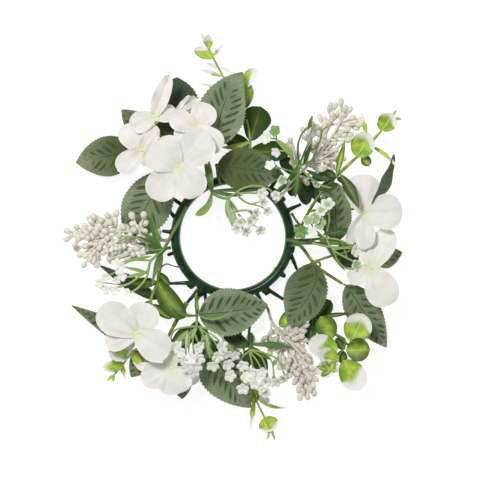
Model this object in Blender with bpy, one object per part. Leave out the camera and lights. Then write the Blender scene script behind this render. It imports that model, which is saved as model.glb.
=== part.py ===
"""Hydrangea candle ring: a moulded plastic ring dressed with artificial flower picks.

Every place is in millimetres from the middle of the ring's hole, at the height of the surface that the
ring lies on. X runs to the right and Y away from the viewer, as the ring is seen from straight above.
"""

import math
import random
from dataclasses import dataclass

import bmesh
import bpy
from mathutils import Matrix, Vector

MM = 0.001

# Driving dimensions of the ring, which fits round a 75 mm pillar candle
HOLE_RADIUS = 40.0
RING_WIDTH = 7.5
RING_HEIGHT = 9.0
RING_SEGMENTS = 36
OUTER_RADIUS = HOLE_RADIUS + RING_WIDTH
CROWN_RADIUS = HOLE_RADIUS + RING_WIDTH / 2

# Clearance between a stem's end and what carries it
SEAT_GAP = 0.4

# Faces that turn by less than this many degrees are one, and shorter edges than this are none
FLAT_ANGLE = 1.5
SHORTEST_EDGE = 0.02

# Wall thickness of the fabric and plastic blades
LEAF_THICKNESS = 0.8
PETAL_THICKNESS = 0.8
SPRIG_LEAF_THICKNESS = 0.9

UP = Vector((0.0, 0.0, 1.0))

COLOURS = {
    "ring_plastic": ((0.008, 0.045, 0.025), 0.3),
    "stem_plastic": ((0.23, 0.26, 0.05), 0.5),
    "petal_fabric": ((0.78, 0.77, 0.72), 0.8),
    "leaf_fabric": ((0.12, 0.19, 0.09), 0.85),
    "dark_leaf_fabric": ((0.05, 0.09, 0.035), 0.85),
    "eucalyptus_plastic": ((0.25, 0.42, 0.05), 0.45),
    "dark_eucalyptus_plastic": ((0.045, 0.10, 0.02), 0.45),
    "berry_plastic": ((0.72, 0.66, 0.52), 0.5),
    "spray_plastic": ((0.35, 0.52, 0.25), 0.55),
}


def polar(radius, angle, height):
    """Point at a radius and an angle in degrees round the ring."""
    turn = math.radians(angle)
    return (radius * math.cos(turn), radius * math.sin(turn), height)


def wall_run(angle, height):
    """First two points of a stem that starts at the ring's outer wall."""
    start = OUTER_RADIUS + SEAT_GAP
    return [polar(start, angle, height), polar(start + 4.0, angle, height + 0.3)]


def crown_run(angle, radius):
    """First two points of a stem that lies across the ring's crown."""
    height = RING_HEIGHT + SEAT_GAP + radius
    return [polar(CROWN_RADIUS - 2.5, angle, height), polar(CROWN_RADIUS + 3.0, angle, height + 0.2)]


def smooth_path(points, steps):
    """Points along a smooth curve through the given points, with steps to each span."""
    knots = [Vector(point) for point in points]
    if steps < 2 or len(knots) < 3:
        return knots
    directions = tangents(knots)
    path = [knots[0]]
    for start, end, leave, arrive in zip(knots, knots[1:], directions, directions[1:]):
        reach = (end - start).length
        for step in range(1, steps + 1):
            t = step / steps
            path.append(
                start * (1 - 3 * t ** 2 + 2 * t ** 3)
                + end * (3 * t ** 2 - 2 * t ** 3)
                + leave * reach * (t - 2 * t ** 2 + t ** 3)
                + arrive * reach * (t ** 3 - t ** 2)
            )
    return path


def tangents(path):
    """Unit direction of a path at each of its points."""
    directions = []
    for index in range(len(path)):
        ahead = path[min(index + 1, len(path) - 1)]
        behind = path[max(index - 1, 0)]
        directions.append((ahead - behind).normalized())
    return directions


def ring_section(centre, side, normal, radius, sides):
    """Round section of a tube, starting at its upper left."""
    section = []
    for index in range(sides):
        turn = math.pi - (index + 0.5) * 2 * math.pi / sides
        section.append(centre + side * radius * math.cos(turn) + normal * radius * math.sin(turn))
    return section


def tube_sections(path, radii, sides, first_side=None):
    """Sections of a tube along a path, whose radius runs evenly from one end's to the other's."""
    directions = tangents(path)
    side = first_side
    if side is None:
        side = directions[0].cross(UP)
        if side.length < 0.1:
            side = directions[0].cross(Vector((1.0, 0.0, 0.0)))
    sections = []
    for index, (point, direction) in enumerate(zip(path, directions)):
        side = (side - direction * side.dot(direction)).normalized()
        share = index / (len(path) - 1)
        radius = radii[0] + (radii[1] - radii[0]) * share
        sections.append(ring_section(point, side, side.cross(direction), radius, sides))
    return sections


def ovate(u):
    """Half width of a pointed oval leaf, as a share of its widest."""
    return max(math.sin(math.pi * u ** 0.8), 0.0) ** 0.75


def petal_outline(u):
    """Half width of a broad round petal with a narrow claw."""
    widest = 0.6
    if u < widest:
        return 0.1 + 0.9 * math.sin(0.5 * math.pi * u / widest)
    return math.sqrt(max(1.0 - ((u - widest) / (1.0 - widest)) ** 2, 0.0))


def round_outline(u):
    """Half width of a nearly round sprig leaf."""
    return math.sqrt(max(1.0 - (2.0 * u - 1.0) ** 2, 0.0))


def narrow_outline(u):
    """Half width of a long narrow leaf."""
    return max(math.sin(math.pi * u ** 0.85), 0.0)


@dataclass
class Blade:
    """One thin leaf or petal from its base to its tip.

    fold lifts both edges by that share of the half width, arch bows the rib upwards by that many
    millimetres, and roll turns the blade about its own axis in degrees. A plain blade has no rib.
    """

    base: tuple
    tip: tuple
    width: float
    outline: object = ovate
    fold: float = 0.12
    arch: float = 2.0
    roll: float = 0.0
    thickness: float = LEAF_THICKNESS
    facing: tuple = (0.0, 0.0, 1.0)
    plain: bool = False

    def axes(self):
        """Unit axis, side and upper normal of the blade."""
        axis = (Vector(self.tip) - Vector(self.base)).normalized()
        side = axis.cross(Vector(self.facing)).normalized()
        side = Matrix.Rotation(math.radians(self.roll), 3, axis) @ side
        return axis, side, side.cross(axis)

    def section(self, u, half_width):
        """Points round the blade at a share of its length."""
        axis, side, normal = self.axes()
        base = Vector(self.base)
        rib = base + (Vector(self.tip) - base) * u + normal * self.arch * 4 * u * (1 - u)
        lift = normal * self.fold * half_width
        left = rib - side * half_width + lift
        right = rib + side * half_width + lift
        skin = normal * self.thickness / 2
        if self.plain:
            return [left + skin, right + skin, right - skin, left - skin]
        return [left + skin, rib + skin, right + skin, right - skin, rib - skin, left - skin]

    def sections(self, shares, tooth=0.0):
        """Sections at the given shares of the length, every second one drawn out into teeth."""
        made = []
        for index, u in enumerate(shares):
            half_width = max(self.width / 2 * self.outline(u), 0.5)
            if 0 < index < len(shares) - 1:
                half_width += tooth if index % 2 else -tooth
            made.append(self.section(u, half_width))
        return made


def new_object(name, mesh):
    """Object in the scene from a closed bmesh whose units are millimetres."""
    if mesh.calc_volume(signed=True) < 0:
        bmesh.ops.reverse_faces(mesh, faces=mesh.faces)
    bmesh.ops.scale(mesh, vec=(MM, MM, MM), verts=mesh.verts)
    data = bpy.data.meshes.new(name)
    mesh.to_mesh(data)
    mesh.free()
    shape = bpy.data.objects.new(name, data)
    bpy.context.scene.collection.objects.link(shape)
    return shape


def loft(name, sections):
    """Closed solid through sections that all have the same number of points."""
    count = len(sections[0])
    mesh = bmesh.new()
    rows = [[mesh.verts.new(point) for point in section] for section in sections]
    for row, after in zip(rows, rows[1:]):
        for index in range(count):
            follow = (index + 1) % count
            if index < count // 2:
                mesh.faces.new((row[index], row[follow], after[follow]))
                mesh.faces.new((row[index], after[follow], after[index]))
            else:
                mesh.faces.new((row[index], row[follow], after[index]))
                mesh.faces.new((row[follow], after[follow], after[index]))
    for row, flip in ((rows[0], True), (rows[-1], False)):
        low = 0
        high = count - 1
        while high - low > 1:
            if low + high < count:
                corners = (row[low], row[low + 1], row[high])
                low += 1
            else:
                corners = (row[low], row[high - 1], row[high])
                high -= 1
            mesh.faces.new(corners[::-1] if flip else corners)
    return new_object(name, mesh)


def tube(points, radii, sides=5, steps=1):
    """Tapered round stem through a few points."""
    return loft("stem", tube_sections(smooth_path(points, steps), radii, sides))


def material(name):
    """Plain material for one kind of piece, made once."""
    made = bpy.data.materials.get(name)
    if made is None:
        colour, roughness = COLOURS[name]
        made = bpy.data.materials.new(name)
        made.use_nodes = True
        shader = made.node_tree.nodes["Principled BSDF"]
        shader.inputs["Base Color"].default_value = (*colour, 1.0)
        shader.inputs["Roughness"].default_value = roughness
        shader.inputs["Metallic"].default_value = 0.0
    return made


def finish(shape, name, finish_name):
    """Name a finished piece and give it its material."""
    shape.name = name
    shape.data.name = name
    shape.data.materials.clear()
    shape.data.materials.append(material(finish_name))
    shape.data.shade_smooth()
    shape.data.set_sharp_from_angle(angle=math.radians(35))
    return shape


def merge_slivers(data):
    """Merge the flat neighbouring faces that a union leaves in slivers."""
    mesh = bmesh.new()
    mesh.from_mesh(data)
    bmesh.ops.dissolve_limit(
        mesh, angle_limit=math.radians(FLAT_ANGLE), verts=mesh.verts, edges=mesh.edges,
        use_dissolve_boundaries=False,
    )
    bmesh.ops.triangulate(mesh, faces=mesh.faces)
    bmesh.ops.dissolve_degenerate(mesh, dist=SHORTEST_EDGE * MM, edges=mesh.edges)
    bmesh.ops.triangulate(mesh, faces=mesh.faces)
    mesh.to_mesh(data)
    mesh.free()


def fuse(shapes, name, finish_name):
    """Join shapes that run into each other into one body, with one Boolean union."""
    body = shapes[0]
    group = bpy.data.collections.new("shapes_to_join")
    bpy.context.scene.collection.children.link(group)
    for shape in shapes[1:]:
        bpy.context.scene.collection.objects.unlink(shape)
        group.objects.link(shape)
    union = body.modifiers.new("join", "BOOLEAN")
    union.operation = "UNION"
    union.solver = "EXACT"
    union.operand_type = "COLLECTION"
    union.collection = group
    bpy.context.view_layer.update()
    evaluated = body.evaluated_get(bpy.context.evaluated_depsgraph_get())
    joined = bpy.data.meshes.new_from_object(evaluated)
    merge_slivers(joined)
    body.modifiers.clear()
    body.data = joined
    for shape in shapes[1:]:
        bpy.data.objects.remove(shape)
    bpy.data.collections.remove(group)
    return finish(body, name, finish_name)


# Prongs moulded on the ring: angle of the root, then the tip's place
PRONGS = (
    (167, (-50.0, 22.0, 5.0)),
    (176, (-53.5, 5.0, 4.0)),
    (195, (-51.5, -16.5, 3.5)),
    (227, (-48.0, -35.5, 4.0)),
    (232, (-37.0, -50.5, 5.0)),
    (244, (-20.0, -50.0, 4.0)),
    (264, (-5.5, -56.0, 4.0)),
    (301, (40.0, -48.0, 5.5)),
    (345, (49.5, -24.0, 5.0)),
    (2, (56.0, 3.0, 4.0)),
    (26, (52.5, 25.0, 4.5)),
    (52, (34.0, 44.0, 4.0)),
    (86, (4.0, 57.0, 4.0)),
    (103, (-12.5, 56.0, 4.0)),
    (148, (-47.5, 30.5, 4.5)),
)


def build_ring():
    """Moulded ring with a rounded crown and tapered prongs."""
    inner = HOLE_RADIUS
    outer = OUTER_RADIUS
    profile = (
        (inner + 0.5, 0.0), (outer - 0.4, 0.0), (outer, 1.2), (outer - 0.1, 5.6),
        (CROWN_RADIUS + 1.6, 8.5), (CROWN_RADIUS - 0.9, RING_HEIGHT), (inner, 6.0),
    )
    mesh = bmesh.new()
    loops = []
    for index in range(RING_SEGMENTS):
        angle = 360 * index / RING_SEGMENTS
        loops.append([mesh.verts.new(polar(radius, angle, height)) for radius, height in profile])
    for loop, after in zip(loops, loops[1:] + loops[:1]):
        for index in range(len(profile)):
            follow = (index + 1) % len(profile)
            mesh.faces.new((loop[index], after[index], after[follow]))
            mesh.faces.new((loop[index], after[follow], loop[follow]))
    shapes = [new_object("ring", mesh)]
    for angle, tip in PRONGS:
        root = polar(CROWN_RADIUS, angle, 4.5)
        shapes.append(tube([root, tip], (1.9, 0.8)))
    fuse(shapes, "ring_base", "ring_plastic")


@dataclass
class Floret:
    """Hydrangea floret of four petals round a small eye.

    A petal is its bearing in degrees seen from above, its length, its width and its lift in degrees.
    Every second petal grows at the upper level.
    """

    centre: tuple
    petals: tuple
    facing: tuple = (0.0, 0.0, 1.0)

    def stalk_end(self):
        """Two last points of the stem that carries the floret, just below its neck."""
        centre = Vector(self.centre)
        facing = Vector(self.facing).normalized()
        return [centre - facing * 8.0, centre - facing * (3.0 + SEAT_GAP)]

    def build(self, name):
        """Petals at two levels, sunk into the eye and its short neck."""
        centre = Vector(self.centre)
        facing = Vector(self.facing).normalized()
        side = facing.cross(Vector((0.3, 1.0, 0.0))).normalized()
        eye = [
            ring_section(centre + facing * along, side, side.cross(facing), radius, 5)
            for along, radius in ((-3.0, 0.9), (-1.0, 2.2), (1.2, 2.3), (2.4, 1.2))
        ]
        shapes = [loft("eye", eye)]
        for index, (bearing, length, width, lift) in enumerate(self.petals):
            turn = math.radians(bearing)
            flat = Vector((math.cos(turn), math.sin(turn), 0.0))
            outward = (flat - facing * flat.dot(facing)).normalized()
            rise = math.radians(lift)
            along = outward * math.cos(rise) + facing * math.sin(rise)
            root = centre + outward * 0.4 + facing * (0.9 if index % 2 else -0.5)
            blade = Blade(
                base=root, tip=root + along * length, width=width, outline=petal_outline,
                fold=0.1, arch=1.2 if index % 2 else 0.9, thickness=PETAL_THICKNESS, facing=facing,
            )
            shapes.append(loft("petal", blade.sections((0.0, 0.3, 0.6, 0.86, 0.975))))
        fuse(shapes, name, "petal_fabric")


FLORETS = {
    "floret_upper_left_1": Floret(
        (-42.7, 52.3, 40.0),
        ((38, 36, 28, 4), (126, 29, 25, 8), (229, 31, 25, 3), (314, 31, 26, 8)),
        (0.05, -0.08, 1.0),
    ),
    "floret_upper_left_2": Floret(
        (-27.1, 85.9, 32.0),
        ((52, 22, 20, 3), (170, 23, 19, 6), (232, 17, 17, 2), (310, 26, 20, 6)),
    ),
    "floret_upper_left_3": Floret(
        (-69.3, 65.3, 27.0),
        ((127, 24, 17, -3), (56, 21, 14, 3), (305, 16, 14, 2), (217, 24, 17, 5)),
    ),
    "floret_upper_left_4": Floret(
        (-60.8, 90.0, 27.0),
        ((64, 31, 17, 10), (185, 18, 16, 26), (285, 12, 12, 5), (8, 14, 12, 22)),
        (0.15, -0.2, 1.0),
    ),
    "floret_upper_left_5": Floret(
        (-36.0, 94.0, 23.0),
        ((60, 14, 14, 3), (112, 15, 20, 6), (200, 14, 14, 2), (345, 9, 9, 4)),
    ),
    "floret_right_1": Floret(
        (101.0, 17.3, 28.0),
        ((97, 31, 27, 2), (10, 28, 27, 8), (272, 27, 18, 3), (212, 24, 21, 6)),
    ),
    "floret_right_2": Floret(
        (105.5, -24.0, 24.0),
        ((54, 31, 20, 3), (302, 32, 26, 6), (203, 17, 15, 3), (135, 12, 12, 9)),
    ),
    "floret_lower_left_1": Floret(
        (-72.8, -73.4, 33.0),
        ((68, 24, 25, 4), (146, 34, 26, 7), (215, 24, 17, 3), (327, 29, 25, 8)),
    ),
    "floret_lower_left_2": Floret(
        (-46.1, -100.1, 26.0),
        ((207, 25, 21, 4), (278, 20, 26, 8), (338, 21, 14, 2), (80, 15, 15, 6)),
    ),
}


def build_florets():
    """All the white florets."""
    for name, floret in FLORETS.items():
        floret.build(name)


# Branching hydrangea stems: the main path, then each branch with the floret that it carries
HYDRANGEA_STEMS = {
    "hydrangea_stem_upper_left": (
        [*crown_run(126, 1.3), (-37.0, 49.0, 14.0), (-46.0, 60.0, 20.0)],
        (
            ([(-43.0, 56.5, 18.0), (-45.5, 56.5, 25.0)], "floret_upper_left_1"),
            ([(-45.5, 59.5, 19.5), (-57.0, 63.5, 20.0)], "floret_upper_left_3"),
            ([(-45.7, 60.0, 19.8), (-55.0, 77.0, 18.5)], "floret_upper_left_4"),
            ([(-45.3, 59.0, 19.4), (-36.0, 75.0, 22.0)], "floret_upper_left_2"),
            ([(-45.8, 60.0, 19.8), (-42.0, 80.0, 15.5)], "floret_upper_left_5"),
        ),
    ),
    "hydrangea_stem_right": (
        [*wall_run(-7, 4.5), (61.3, -19.3, 8.5), (66.7, -24.6, 10.0), (84.2, -36.0, 11.5)],
        (
            ([(61.3, -19.3, 8.5), (75.1, -14.7, 10.0), (91.0, -9.0, 12.0)], "floret_right_1"),
            ([(90.0, -9.5, 12.0), (99.0, -16.0, 14.0)], "floret_right_2"),
        ),
    ),
    "hydrangea_stem_lower_left": (
        [(-37.4, -51.2, 5.0), (-41.5, -59.7, 8.0), (-46.0, -67.3, 12.0), (-49.0, -76.0, 15.0)],
        (
            ([(-49.0, -76.0, 15.0), (-62.0, -77.0, 21.0)], "floret_lower_left_1"),
            ([(-48.7, -75.0, 14.5), (-48.0, -89.0, 17.0)], "floret_lower_left_2"),
        ),
    ),
}


def build_hydrangea_stems():
    """Olive stems that carry the florets."""
    for name, (main_run, branches) in HYDRANGEA_STEMS.items():
        shapes = [tube(main_run, (1.3, 1.2))]
        for points, floret in branches:
            shapes.append(tube([*points, *FLORETS[floret].stalk_end()], (0.9, 0.8)))
        fuse(shapes, name, "stem_plastic")


@dataclass
class Leaf:
    """Toothed fabric leaf on its own stalk, whose path ends at the blade's base."""

    stalk: list
    tip: tuple
    width: float
    teeth: int = 6
    fold: float = 0.12
    arch: float = 2.0
    roll: float = 0.0
    finish_name: str = "leaf_fabric"

    def build(self, name):
        """Stalk and blade as one solid."""
        path = smooth_path(self.stalk, 1)
        blade = Blade(path[-1], self.tip, self.width, fold=self.fold, arch=self.arch, roll=self.roll)
        side = blade.axes()[1]
        rows = 2 * self.teeth + 1
        shares = [0.05 + 0.93 * index / (rows - 1) for index in range(rows)]
        sections = tube_sections(path, (0.9, 0.8), 6, side)
        sections += blade.sections(shares, tooth=min(0.75, self.width * 0.03))
        finish(loft(name, sections), name, self.finish_name)


LEAVES = {
    "leaf_left_upper": Leaf(
        [*wall_run(128, 3.5), (-44.0, 58.0, 6.5), (-74.0, 68.0, 10.0)], (-119.3, 57.7, 9.0), 28, roll=-4,
    ),
    "leaf_left_corner": Leaf(
        [*wall_run(120, 4.5), (-42.0, 68.0, 10.0), (-62.0, 76.0, 12.5)], (-85.0, 97.0, 14.0), 19, teeth=4,
    ),
    "leaf_top_dark": Leaf(
        [*wall_run(111, 4.0), (-25.0, 66.0, 8.0), (-32.0, 90.0, 10.0)], (-46.9, 121.0, 11.0), 18, teeth=4,
        finish_name="dark_leaf_fabric",
    ),
    "leaf_top": Leaf(
        [*crown_run(111, 0.9), (-18.0, 58.0, 13.0), (-11.0, 69.0, 19.0)], (8.4, 125.5, 23.0), 34, teeth=7,
    ),
    "leaf_inner_top": Leaf(
        [*crown_run(103, 0.9), (-12.6, 50.8, 14.0)], (37.7, 47.8, 16.0), 32, teeth=7, fold=0.08,
    ),
    "leaf_left": Leaf(
        [*wall_run(137, 4.5), (-43.0, 46.0, 6.5), (-51.0, 48.0, 8.0)], (-79.6, 0.5, 7.0), 34, teeth=7,
    ),
    "leaf_right": Leaf([*wall_run(10, 4.5), (70.0, -1.0, 12.5), (79.0, -3.0, 15.0)], (75.1, 43.5, 18.0), 24),
    "leaf_right_edge": Leaf(
        [*wall_run(18, 4.5), (75.0, 14.0, 8.0), (96.0, 16.0, 10.0), (106.0, 24.0, 13.0)],
        (120.8, 58.4, 18.0), 16, teeth=4, roll=62, finish_name="dark_leaf_fabric",
    ),
    "leaf_inner_right": Leaf(
        [(67.0, -22.2, 10.9), (68.5, -22.0, 15.0), (66.0, -25.0, 19.0)], (42.3, -67.3, 21.0), 31, teeth=7,
    ),
    "leaf_lower_right": Leaf([(84.6, -36.2, 11.5), (87.5, -38.5, 11.5)], (117.7, -84.8, 11.0), 26, teeth=7),
    "leaf_right_tip": Leaf(
        [(99.0, -13.6, 13.4), (102.0, -15.0, 12.5), (108.0, -18.0, 13.0)], (129.5, -12.0, 15.0), 17, teeth=4,
    ),
    "leaf_inner_bottom": Leaf(
        [*wall_run(238, 4.5), (-28.0, -52.0, 9.0), (-24.8, -58.1, 13.0)], (27.1, -50.5, 14.0), 33, teeth=7,
    ),
    "leaf_bottom": Leaf(
        [*wall_run(250, 4.0), (-19.0, -66.0, 7.0), (-15.0, -82.0, 10.0)], (13.3, -130.5, 11.0), 37, teeth=7,
    ),
    "leaf_lower_left_tip": Leaf(
        [(-50.7, -75.8, 13.6), (-68.0, -74.0, 13.0), (-82.0, -72.5, 13.0)], (-124.0, -52.0, 12.0), 19, teeth=5,
    ),
    "leaf_lower_left_corner": Leaf(
        [(-49.6, -77.8, 13.9), (-56.0, -82.0, 11.0), (-63.0, -85.0, 10.0)], (-77.5, -107.5, 9.0), 18, teeth=4,
    ),
    "leaf_bottom_left_tip": Leaf(
        [(-46.9, -77.9, 13.9), (-42.0, -88.0, 11.0), (-40.0, -95.0, 10.0)], (-37.0, -123.0, 9.0), 15, teeth=4,
    ),
    "leaf_left_dark": Leaf(
        [(-48.8, -36.4, 4.0), (-52.0, -43.0, 5.0), (-58.0, -47.5, 7.0)], (-101.0, -22.3, 9.0), 16, teeth=5,
        roll=50, finish_name="dark_leaf_fabric",
    ),
    "leaf_bottom_dark": Leaf(
        [*wall_run(258, 2.0), (-10.5, -66.0, 2.8), (-7.0, -75.0, 3.6)], (14.0, -84.0, 4.0), 12, teeth=4,
        finish_name="dark_leaf_fabric",
    ),
    "leaf_right_dark": Leaf(
        [(77.8, -15.0, 8.8), (84.0, -14.0, 6.0)], (98.0, -25.0, 5.0), 15, teeth=4,
        finish_name="dark_leaf_fabric",
    ),
}


def build_leaves():
    """All the toothed leaves."""
    for name, leaf in LEAVES.items():
        leaf.build(name)


# Shares of the length where a broad and a narrow sprig leaf have their sections
BROAD_SHARES = (0.0, 0.2, 0.5, 0.8, 0.97)
NARROW_SHARES = (0.0, 0.45, 0.97)


@dataclass
class Sprig:
    """Eucalyptus sprig: stems, broad cupped leaves and narrow leaves.

    A leaf is its base, its tip, its width, and its roll in degrees.
    """

    stems: tuple
    broad: tuple = ()
    narrow: tuple = ()
    finish_name: str = "eucalyptus_plastic"

    def build(self, name):
        """Stems and leaves fused into one body."""
        shapes = [tube(stem, (1.0, 0.8)) for stem in self.stems]
        for base, tip, width, roll in self.broad:
            blade = Blade(
                base, tip, width, round_outline, fold=0.22, arch=-1.2, roll=roll,
                thickness=SPRIG_LEAF_THICKNESS,
            )
            shapes.append(loft("leaf", blade.sections(BROAD_SHARES)))
        for base, tip, width, roll in self.narrow:
            blade = Blade(
                base, tip, width, narrow_outline, fold=0.0, arch=0.4, roll=roll,
                thickness=SPRIG_LEAF_THICKNESS, plain=True,
            )
            shapes.append(loft("leaf", blade.sections(NARROW_SHARES)))
        fuse(shapes, name, self.finish_name)


SPRIGS = {
    "eucalyptus_top": Sprig(
        stems=(
            [*wall_run(77, 4.0), (13.3, 75.2, 8.5), (8.0, 97.0, 11.0), (-6.9, 121.7, 14.0),
             (-14.9, 136.9, 17.0), (-19.0, 145.5, 19.0)],
        ),
        broad=(
            ((13.0, 76.0, 8.8), (23.0, 98.5, 14.0), 19, -8),
            ((-14.3, 135.5, 16.8), (-29.5, 142.5, 19.0), 9.5, 10),
            ((-4.5, 117.5, 13.5), (17.5, 129.0, 15.0), 10, 0),
            ((7.0, 99.0, 11.3), (18.0, 115.5, 11.0), 8, 0),
            ((13.2, 73.5, 8.3), (-8.0, 70.0, 9.0), 6, 0),
            ((13.0, 69.0, 7.5), (35.5, 60.5, 8.0), 13, 0),
        ),
        narrow=(
            ((-18.8, 144.5, 18.8), (-24.2, 156.0, 21.0), 4.5, 0),
            ((-17.6, 142.5, 18.3), (-15.5, 153.5, 22.0), 3.5, 30),
            ((-13.0, 133.5, 16.3), (-6.8, 146.5, 18.0), 3.5, 0),
            ((-8.5, 124.5, 14.5), (-25.5, 128.5, 16.0), 4, 0),
            ((-11.0, 129.5, 15.4), (-0.2, 125.5, 19.0), 4, 0),
        ),
    ),
    "eucalyptus_upper_right": Sprig(
        stems=(
            [*crown_run(33, 1.0), (60.0, 38.0, 16.0), (78.9, 44.7, 32.0), (98.0, 64.0, 32.0),
             (113.2, 80.5, 32.0)],
        ),
        broad=(
            ((92.0, 58.0, 32.0), (96.0, 81.0, 37.0), 18, -12),
            ((112.5, 79.7, 32.0), (120.5, 95.0, 36.0), 15, 0),
            ((83.0, 48.8, 32.0), (97.5, 22.0, 40.0), 11, 0),
            ((95.5, 61.5, 32.0), (106.5, 53.5, 31.0), 8, 0),
        ),
        narrow=(
            ((79.5, 45.3, 32.0), (85.7, 74.5, 38.0), 5, 0),
            ((98.5, 64.5, 32.0), (99.0, 95.5, 32.0), 5, 0),
            ((103.5, 70.0, 32.0), (126.5, 51.0, 32.0), 6, 0),
            ((109.0, 76.0, 32.0), (127.5, 88.0, 31.0), 4, 0),
        ),
    ),
    "eucalyptus_inner_right": Sprig(
        stems=([*wall_run(44, 3.5), (46.0, 44.0, 5.0), (53.0, 50.0, 6.0)],),
        broad=(
            ((52.3, 49.5, 5.9), (57.5, 22.0, 7.5), 12, 0),
            ((52.8, 49.8, 6.0), (69.5, 29.0, 7.5), 9, 0),
        ),
        finish_name="dark_eucalyptus_plastic",
    ),
    "eucalyptus_lower_right": Sprig(
        stems=(
            [(40.4, -48.5, 5.4), (50.0, -53.0, 8.0), (62.0, -62.0, 12.0), (78.0, -74.0, 20.0),
             (86.0, -79.5, 23.0), (80.0, -92.0, 24.0)],
        ),
        broad=(
            ((85.0, -78.6, 22.7), (98.5, -58.0, 26.0), 20, 0),
            ((78.5, -74.2, 20.2), (66.0, -59.0, 24.0), 14, 0),
            ((83.5, -84.5, 23.5), (58.0, -81.0, 27.0), 16, 0),
            ((81.0, -90.0, 23.8), (68.0, -96.5, 30.0), 14, 0),
            ((81.6, -88.7, 23.7), (76.0, -110.5, 25.0), 11, 0),
            ((82.5, -87.0, 23.6), (101.5, -113.5, 24.0), 20, 0),
            ((85.5, -80.5, 23.0), (105.5, -88.5, 28.0), 13, 0),
            ((63.0, -62.7, 12.3), (76.0, -51.0, 13.0), 13, 0),
            ((50.0, -53.2, 8.0), (36.0, -69.0, 7.0), 10, 0),
        ),
        narrow=(
            ((70.0, -68.0, 16.0), (89.0, -57.5, 19.5), 3, 0),
            ((83.0, -86.0, 23.5), (83.5, -94.0, 33.0), 6, 40),
        ),
    ),
    "eucalyptus_bottom": Sprig(
        stems=(
            [*wall_run(272, 2.6), (11.0, -98.0, 3.6), (17.0, -122.0, 5.5), (24.0, -137.4, 8.0),
             (28.5, -147.0, 10.0)],
        ),
        broad=(
            ((18.5, -125.5, 5.9), (14.0, -111.0, 6.0), 9, -10),
            ((24.5, -138.5, 8.2), (34.0, -150.5, 11.0), 12, 0),
            ((16.3, -119.5, 5.3), (28.0, -126.0, 5.0), 7, 0),
        ),
        narrow=(
            ((20.0, -129.0, 6.5), (43.0, -131.5, 7.0), 5, 0),
            ((17.0, -122.0, 5.5), (12.0, -150.8, 7.5), 5, 0),
            ((28.0, -146.0, 9.8), (27.5, -155.5, 12.5), 5, 0),
        ),
    ),
    "eucalyptus_lower_left": Sprig(
        stems=(
            [(-53.0, -78.4, 16.5), (-64.0, -82.0, 16.0), (-77.3, -87.1, 16.0), (-84.0, -96.2, 17.0),
             (-91.0, -103.5, 18.0)],
        ),
        broad=(
            ((-77.5, -87.4, 16.0), (-95.5, -87.5, 20.0), 12, 0),
            ((-83.5, -95.5, 17.0), (-98.5, -98.0, 19.0), 9, 0),
        ),
        narrow=(
            ((-83.0, -94.8, 16.8), (-82.0, -110.0, 15.5), 4.5, 0),
            ((-90.5, -103.0, 18.0), (-95.0, -111.0, 18.5), 5, 0),
            ((-75.0, -86.2, 16.0), (-69.0, -101.0, 16.0), 5, 0),
        ),
    ),
    "eucalyptus_inner_left": Sprig(
        stems=(
            [*wall_run(190, 6.0), (-56.0, -17.0, 12.0), (-57.0, -33.5, 14.0), (-62.5, -50.0, 15.0),
             (-56.0, -57.0, 14.0), (-48.0, -61.5, 14.5)],
        ),
        broad=(
            ((-57.0, -33.0, 14.0), (-43.0, -58.5, 18.5), 16, 0),
            ((-58.0, -36.5, 14.2), (-73.0, -36.0, 12.5), 9, 0),
        ),
        narrow=(
            ((-61.8, -49.0, 15.0), (-68.5, -54.0, 16.0), 4.5, 0),
        ),
    ),
}


def build_sprigs():
    """All the eucalyptus sprigs."""
    for name, sprig in SPRIGS.items():
        sprig.build(name)


BERRY_RADIUS = 2.7


def berry(root, tip):
    """Teardrop berry whose narrow end is at root and whose round end is at tip."""
    start = Vector(root)
    reach = Vector(tip) - start
    side = reach.cross(UP).normalized()
    over = side.cross(reach.normalized())
    steps = ((0.0, 0.6), (0.64, BERRY_RADIUS), (0.98, BERRY_RADIUS * 0.45))
    return loft("berry", [ring_section(start + reach * share, side, over, radius, 5) for share, radius in steps])


@dataclass
class BerrySpray:
    """Spray of teardrop berries: its branching stems, and each berry's root and tip."""

    stems: tuple
    berries: tuple

    def build(self, name):
        """Stems and berries fused into one body."""
        shapes = [tube(stem, (1.1, 0.9), sides=4) for stem in self.stems]
        shapes += [berry(root, tip) for root, tip in self.berries]
        fuse(shapes, name, "berry_plastic")


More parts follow.
